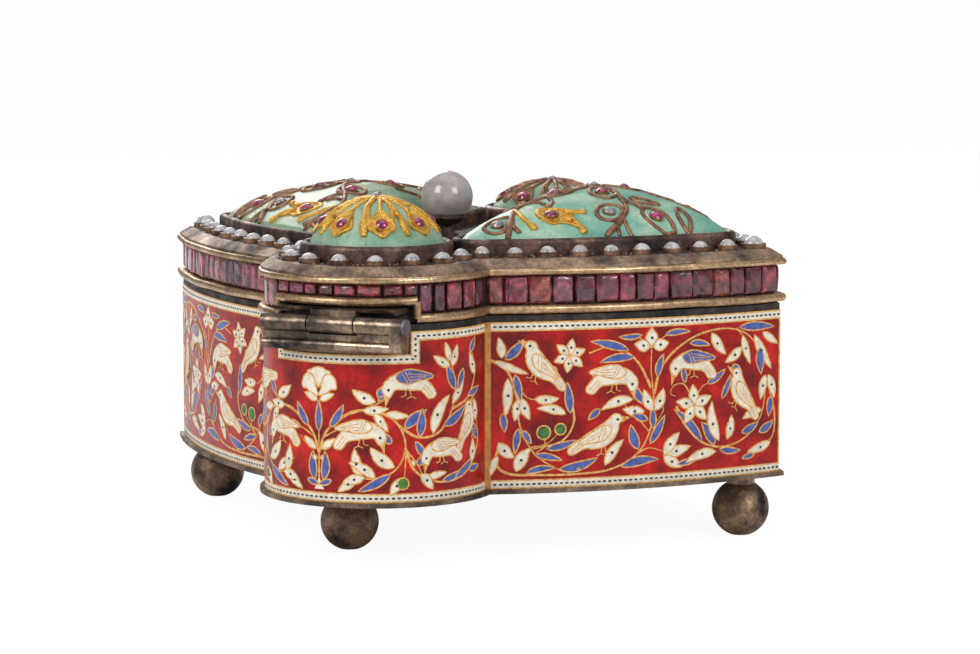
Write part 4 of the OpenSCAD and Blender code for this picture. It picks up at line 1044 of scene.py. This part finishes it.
# Garnets: table-cut stones of uneven widths, each cut a little askew
garnetWork = dict(
    low=3.0, high=5.6,  # least and greatest width
    slimmer=0.8,        # what the stones on the left are narrower by
    back=1.15, face=0.05,
    gap=0.16, play=0.12, ends=0.5,
    bevel=0.8, edge=0.09, rough=0.16,
    seed=5,
)
chance = np.random.default_rng(garnetWork["seed"])


def garnetWidths(run, length):
    slimmer = garnetWork["slimmer"] if run in leftRuns else 0
    widths = []
    while sum(widths) < length:
        widths.append(chance.uniform(garnetWork["low"] - slimmer, garnetWork["high"] - 1.4 * slimmer))
    scale = length / sum(widths)
    return [width * scale for width in widths]


def garnetStone(run, middle, width, bottom, high):
    arc = runArc(run)
    half = width / 2 - garnetWork["gap"]
    bevel = min(garnetWork["bevel"] * chance.uniform(0.7, 1.5), half * 0.45, (high - bottom) * 0.3)
    face = garnetWork["face"] + chance.uniform(-0.15, 0.25)
    cuts = ((garnetWork["back"], 0.0), (face + 0.42, 0.0), (face + 0.1, bevel * 0.45), (face, bevel))
    verts = []
    for inset, drawn in cuts:
        jitter = garnetWork["rough"] if inset < garnetWork["back"] else 0.0
        for cx, cz in ((-1, -1), (0, -1), (1, -1), (1, 0), (1, 1), (0, 1), (-1, 1), (-1, 0)):
            corner = cx and cz
            du = cx * (half - drawn) * (0.9 if corner else 1.0) - cx * jitter * chance.uniform(0, 1)
            tall = cz * ((high - bottom) / 2 - drawn) * (0.97 if corner else 1.0)
            z = (bottom + high) / 2 + tall - cz * jitter * chance.uniform(0, 1)
            depth = inset + jitter * 0.5 * chance.uniform(-1, 1)
            x, y = planPoint(run + min(max((middle + du) / arc, 0.0), runEnd), depth)
            verts.append((x, y, z))
    return verts


def garnetRun(key, run):
    arc = runArc(run)
    low = lidZ + 2 * beads["lowR"] + garnetWork["play"]
    high = corniceZ - 2 * beads["topR"] - garnetWork["play"]
    shapes, tints = Shapes(), []
    u = garnetWork["ends"]
    for width in garnetWidths(run, arc - 2 * garnetWork["ends"]):
        middle, reach = hingeRun + (u + width / 2) / arc, 0.5 * width / arc
        overHinge = run == hingeRun and notchLeft - reach < middle < notchRight + reach
        verts = garnetStone(run, u + width / 2, width, low + notchRise if overHinge else low, high)
        shapes.add(verts, ringFaces(4, 8, False, True, True))
        tints += [chance.uniform(0, 1)] * len(verts)
        u += width
    piece = shapes.piece("garnet_row_" + key, stones["garnet"])
    tintData = piece.data.attributes.new("stoneTint", "FLOAT", "POINT")
    tintData.data.foreach_set("value", tints)
    closeUp(piece)
    edges = piece.modifiers.new("edges", "BEVEL")
    edges.width = garnetWork["edge"] * mm
    edges.segments = 1
    edges.limit_method = "ANGLE"
    edges.angle_limit = math.radians(12)
    applyModifiers(piece)
    return seat(piece, "lid", "garnet", "garnets_" + key)


for run, key in enumerate(runNames):
    garnetRun(key, run)
print("garnets ready")


# Ring of half pearls along the edge, each a little lumpy
pearlWork = dict(sides=9, lobes=9, radius=1.85, cornerR=2.4, cupH=0.45, end=0.99999)
pearlPlaces = []
for run in (0, 2, 3, 5):
    for k in range(pearlWork["sides"] + 1):
        share = k / (pearlWork["sides"] + 0.5)
        t = run + (share if run in cornerRuns else pearlWork["end"] - share)
        radius = pearlWork["radius" if k else "cornerR"]
        pearlPlaces.append((*planPoint(t, plan["pearlIn"]), radius))
for run in lobeRuns:
    for k in range(pearlWork["lobes"]):
        t = run + (k + 0.5) / pearlWork["lobes"]
        pearlPlaces.append((*planPoint(t, plan["pearlIn"]), pearlWork["radius"]))


def halfPearl(x0, y0, radius):
    wide, tall = radius * chance.uniform(0.93, 1.0), radius * chance.uniform(0.82, 0.98)
    turn, squash = chance.uniform(0, math.pi), chance.uniform(0.9, 1.0)
    rows, columns = 9, 20
    verts = []
    for j in range(rows):
        a = math.pi * 0.5 * j / (rows - 1) + 0.02
        for i in range(columns):
            b = 2 * math.pi * i / columns
            lump = 1 + 0.035 * wave(x0 + math.cos(b), y0 + math.sin(b), 2 * math.cos(a), 1.3, 6.0)
            across = wide * math.sin(a) * math.cos(b) * lump
            along = wide * squash * math.sin(a) * math.sin(b) * lump
            x = x0 + across * math.cos(turn) - along * math.sin(turn)
            y = y0 + across * math.sin(turn) + along * math.cos(turn)
            verts.append((x, y, topZ + pearlWork["cupH"] + tall * math.cos(a) * lump))
    return verts, ringFaces(rows, columns, False, True, True)


seeds = Shapes()
for place in pearlPlaces:
    seeds.add(*halfPearl(*place))
finish(seeds.piece("seed_pearls", stones["pearl"]), 70, "lid", "pearl", "pearls")


# Small metal grains between the pearls
grainWork = dict(radius=0.32, inset=(3.0, 5.0), rowGap=2.4, room=0.5)


def grain(x, y, z, radius):
    rows, columns = 4, 7
    verts = []
    for j in range(rows):
        a = math.pi * (j + 0.5) / rows
        for u, v in circle(x, y, radius * math.sin(a), columns):
            verts.append((u, v, z + radius * math.cos(a)))
    return verts, ringFaces(rows, columns, False, True, True)


grains = Shapes()
for t in runStations(0.0, 6.0, 46, 48)[:-1]:
    for k in range(2):
        inset = chance.uniform(*grainWork["inset"]) + k * grainWork["rowGap"]
        x, y = planPoint(t + chance.uniform(0, 0.015), inset)
        room = min(math.hypot(x - px, y - py) - pr for px, py, pr in pearlPlaces)
        if room > grainWork["room"]:
            grains.add(*grain(x, y, topZ, grainWork["radius"] * chance.uniform(0.5, 1.1)))
finish(grains.piece("lid_grains", metals["cup"]), 60, "lid", "lid_metal")
print("pearls and grains ready")


# Gold and bronze work on the domes, laid on the stones' surfaces
def surfaceOf(name):
    mesh = cadNodes[name].data
    places = [vert.co.copy() for vert in mesh.vertices]
    return BVHTree.FromPolygons(places, [tuple(face.vertices) for face in mesh.polygons])


def onSurface(surface, x, y, lift):
    hit, normal, _, _ = surface.ray_cast(Vector((x * mm, y * mm, 0.2)), Vector((0, 0, -1)))
    if hit is None:
        return None, None
    if normal.z < 0:
        normal = -normal
    return hit / mm + normal * lift, normal


def vine(shapes, surface, points, width, loop=False, seed=0.0, knobEnd=False):
    # Half-round wire along points in plan, rough from the file
    line, rises, widths = [], [], []
    drawn = smoothLine(points, 5, loop)
    for k, (x, y) in enumerate(drawn):
        place, normal = onSurface(surface, x, y, width * 0.18)
        if place is None:
            continue
        line.append(place)
        rises.append(normal)
        share = k / (len(drawn) - 1)
        swell = 1 + 0.22 * wave(x, y, seed, 0.9, seed)
        if knobEnd and share > 0.75:
            swell *= 1 + 0.5 * math.sin(math.pi * (share - 0.75) / 0.25)
        widths.append(width * swell)
    if len(line) > 3:
        shapes.add(*tubeShape(line, widths, 8, loop, rises, 0.8))


def plate(shapes, surface, outline, lift=0.28, rim=0.32):
    # Thin metal plate with a raised rim, bent to the stone
    drawn = counterclockwise(smoothLine(outline, 4, True))
    cx, cy = sum(p[0] for p in drawn) / len(drawn), sum(p[1] for p in drawn) / len(drawn)
    rows = []
    for share, height in ((1.0, -0.3), (1.0, lift + rim * 0.6), (0.93, lift + rim), (0.83, lift + rim * 0.5),
                          (0.78, lift), (0.4, lift), (0.08, lift)):
        row = []
        for x, y in drawn:
            px, py = cx + (x - cx) * share, cy + (y - cy) * share
            place, _ = onSurface(surface, px, py, height + 0.1 * wave(px, py, height, 0.8, 3.0))
            row.append(place)
        rows.append(row)
    if all(p is not None for row in rows for p in row):
        shapes.add([p for row in rows for p in row], ringFaces(len(rows), len(drawn), False, True, True))


def finishOrnament(key, wires, wireMetal, wireSlot, plates, plateMetal, plateSlot):
    finish(wires.piece(key + "_stems", wireMetal), 55, "lid", wireSlot)
    finish(plates.piece(key + "_leaves", plateMetal), 55, "lid", plateSlot)


# Round domes: eight stems and eight leaf plates round a ring
lobeWork = dict(gems=8, turn=-15, stemW=0.62, reach=12.8, fork=8.6, ringR=1.9, plateIn=7.6, plateOut=13.0,
                plateHalf=2.9)


def lobeOrnament(key, y0, material, slotName):
    surface = surfaceOf("dome_" + key)
    wires, plates = Shapes(), Shapes()
    tip, far, half = lobeWork["plateIn"], lobeWork["plateOut"], lobeWork["plateHalf"]
    edge = [(tip + 1.7, half * 0.5 / (tip + 1.7)), (tip + 4.0, half / (tip + 4.0)),
            (far - 0.8, half * 0.72 / far)]
    stemW, fork = lobeWork["stemW"], lobeWork["fork"]
    for k in range(lobeWork["gems"]):
        turn = math.radians(lobeWork["turn"] + 360 / lobeWork["gems"] * k)

        def at(radius, swing):
            a = turn + math.radians(swing)
            return radius * math.cos(a), y0 + radius * math.sin(a)

        oneSide = [at(radius, -math.degrees(swing)) for radius, swing in edge]
        otherSide = [at(radius, math.degrees(swing)) for radius, swing in reversed(edge)]
        plate(plates, surface, [at(tip, 0)] + oneSide + [at(far, 0)] + otherSide)
        vine(wires, surface, [at(1.2, 0), at(3.4, 4), at(tip + 0.2, 0)], stemW * 0.8, seed=k)
        bend = 3 * math.sin(k * 2.3)
        vine(wires, surface, [at(0.8, 22), at(4.0, 22 + bend), at(8.0, 23), at(lobeWork["reach"], 25 + bend)],
             stemW, seed=k + 10, knobEnd=True)
        side = -1 if k % 2 else 1
        vine(wires, surface, [at(fork - 3.2, 22), at(fork, 22 + side * 6), at(11.2, 22 + side * 11)],
             stemW * 0.8, seed=k + 20, knobEnd=True)
    vine(wires, surface, circle(0, y0, lobeWork["ringR"], 8), 0.45, True, 5.0)
    finishOrnament(key, wires, material, slotName, plates, material, slotName)


# Wing domes: one half of the vine, which is mirrored to the other
wingWork = dict(
    wire=0.5,
    apexX=29,
    stems=[[(28.6, -3.0), (26.9, -8.0), (23.0, -15.4), (20.6, -22.5), (21.8, -29.0), (23.4, -34.6)],
        [(21.2, -21.0), (18.8, -19.6), (16.6, -20.4)], [(21.6, -19.4), (24.0, -18.4), (25.6, -19.6)],
        [(22.2, -30.4), (25.0, -32.2)],
        [(30.0, -2.6), (34.6, -3.0), (37.8, -7.4), (41.0, -11.6), (41.6, -16.6), (40.4, -22.0)],
        [(41.6, -15.4), (44.2, -18.0), (46.4, -17.6)], [(41.4, -18.2), (43.2, -21.0)],
        [(37.4, -7.0), (40.6, -8.6), (43.6, -8.8)], [(24.0, -14.0), (26.4, -17.4), (26.6, -20.8)],
        [(16.6, -9.0), (17.6, -14.0), (20.4, -18.2)], [(48.6, -13.0), (50.2, -14.4)],
        [(20.0, -4.6), (18.0, -8.6), (16.2, -12.6)]],
    loops=[[(20.8, -28.2), (22.2, -31.0), (21.7, -33.8), (19.6, -35.2), (17.6, -33.6), (18.0, -30.6)],
        [(39.9, -12.0), (37.0, -12.9), (36.0, -15.8), (37.5, -18.6), (40.3, -17.6), (41.0, -14.6)],
        [(43.8, -8.6), (46.6, -7.2), (49.6, -8.4), (52.0, -11.6), (48.2, -12.6), (44.8, -11.6)],
        [(39.6, -5.8), (42.0, -4.2), (45.6, -4.6), (42.4, -6.6)],
        [(49.0, -2.4), (52.4, -4.2), (53.8, -8.2), (50.8, -6.2)],
        [(30.4, -3.4), (33.4, -3.0), (36.6, -5.8), (36.0, -9.6), (32.6, -9.4), (30.6, -6.4)],
        [(27.0, -6.2), (27.0, -10.2), (24.8, -13.6), (21.4, -11.4), (21.6, -7.8), (24.2, -6.0)]],
    goldStems=[[(30.6, -20.8), (32.4, -19.8), (34.4, -18.4)], [(31.2, -23.0), (33.8, -22.8), (36.6, -24.6)],
        [(20.9, -24.6), (24.2, -27.6), (27.6, -29.6)]],
    plates=[
        [(25.4, -21.6), (28.4, -20.2), (31.4, -19.4), (33.8, -18.4), (32.4, -21.2), (35.6, -23.6),
         (31.8, -24.8), (30.0, -26.4), (26.8, -25.8), (25.0, -23.6)]],
)


def wingOrnament(key, sx):
    surface = surfaceOf("dome_" + key)
    wires, plates = Shapes(), Shapes()
    wire = wingWork["wire"]
    for sy in (1, -1):

        def turned(points):
            return [(sx * x, sy * y) for x, y in points]

        for k, points in enumerate(wingWork["stems"]):
            vine(wires, surface, turned(points), wire * (1.1 if k == 0 else 1), seed=k, knobEnd=True)
        for k, points in enumerate(wingWork["loops"]):
            vine(wires, surface, turned(points), wire, True, k + 30.0)
        for points in wingWork["plates"]:
            plate(plates, surface, turned(points), 0.1, 0.3)
        for k, points in enumerate(wingWork["goldStems"]):
            vine(plates, surface, turned(points), wire * 1.25, seed=k + 50.0, knobEnd=True)
    ring = [(sx * x, y) for x, y in circle(wingWork["apexX"], 0, 2.0, 8)]
    vine(wires, surface, ring, 0.4, True, 5.0)
    finishOrnament(key, wires, metals["bronze"], "bronze", plates, metals["gold"], "gold")


lobeOrnament("front", -plan["lobeY"], metals["gold"], "gold")
lobeOrnament("back", plan["lobeY"], metals["bronze"], "bronze")
wingOrnament("right", 1)
wingOrnament("left", -1)
print("domes ready")


# Camera and light, as the photograph was taken
view = dict(place=(0.2818, -0.6559, 0.127), heading=(-0.389, 0.921), pitch=6.82, lens=119.8)
bpy.ops.object.camera_add(location=view["place"])
camera = bpy.context.object
camera.name = "studio_camera"
heading = Vector((*view["heading"], 0)).normalized()
pitch = math.radians(view["pitch"])
direction = heading * math.cos(pitch) - Vector((0, 0, math.sin(pitch)))
camera.rotation_euler = direction.to_track_quat("-Z", "Y").to_euler()
camera.data.lens = view["lens"]
camera.data.sensor_width = 36
camera.data.clip_start = 0.01
camera.data.clip_end = 100
bpy.context.scene.camera = camera


def softbox(name, place, size, power, target=(0, 0, 0.04)):
    bpy.ops.object.light_add(type="AREA", location=place)
    lamp = bpy.context.object
    lamp.name = name
    lamp.data.shape = "RECTANGLE"
    lamp.data.size, lamp.data.size_y = size
    lamp.data.energy = power
    lamp.rotation_euler = (Vector(target) - Vector(place)).to_track_quat("-Z", "Y").to_euler()


softbox("left_softbox", (-0.35, -0.75, 0.62), (0.4, 0.5), 4.6)
softbox("right_softbox", (0.85, -0.45, 0.6), (0.4, 0.5), 4.2)
softbox("back_softbox", (-0.6, 0.75, 0.5), (0.5, 0.4), 3.2)
softbox("top_softbox", (0.0, 0.1, 1.0), (0.8, 0.8), 2.2)


def studioWorld():
    # White to the camera and through clear stones, and dimmer as a light
    world = bpy.data.worlds.new("studio")
    bpy.context.scene.world = world
    world.use_nodes = True
    tree = world.node_tree
    background = tree.nodes["Background"]
    background.inputs["Color"].default_value = (1, 1, 1, 1)
    path = addNode(tree, "ShaderNodeLightPath")
    seen = addNode(tree, "ShaderNodeMath", operation="MAXIMUM")
    tree.links.new(path.outputs["Is Camera Ray"], seen.inputs[0])
    tree.links.new(path.outputs["Is Transmission Ray"], seen.inputs[1])
    strength = addNode(tree, "ShaderNodeMapRange")
    strength.inputs["To Min"].default_value = 0.3
    strength.inputs["To Max"].default_value = 1.0
    tree.links.new(seen.outputs[0], strength.inputs["Value"])
    tree.links.new(strength.outputs["Result"], background.inputs["Strength"])


def studioFloor():
    # Pale floor that glows to the camera alone, so that it fades into the white behind
    bpy.ops.mesh.primitive_plane_add(size=30, location=(0, 0, 0))
    floor = bpy.context.object
    floor.name = "studio_floor"
    white, tree, shader = startMaterial("studio_white", 0.9, specular=0.1)
    shader.inputs["Base Color"].default_value = (0.86, 0.86, 0.86, 1)
    glow = addNode(tree, "ShaderNodeEmission")
    glow.inputs["Strength"].default_value = 1.1
    path = addNode(tree, "ShaderNodeLightPath")
    share = addNode(tree, "ShaderNodeMath", operation="MULTIPLY")
    share.inputs[1].default_value = 0.86
    tree.links.new(path.outputs["Is Camera Ray"], share.inputs[0])
    mixed = addNode(tree, "ShaderNodeMixShader")
    tree.links.new(share.outputs[0], mixed.inputs[0])
    tree.links.new(shader.outputs[0], mixed.inputs[1])
    tree.links.new(glow.outputs[0], mixed.inputs[2])
    tree.links.new(mixed.outputs[0], tree.nodes["Material Output"].inputs["Surface"])
    floor.data.materials.append(white)
    return floor


studioWorld()
studioFloor()
bpy.context.scene.view_settings.view_transform = "Standard"
print("stage ready")
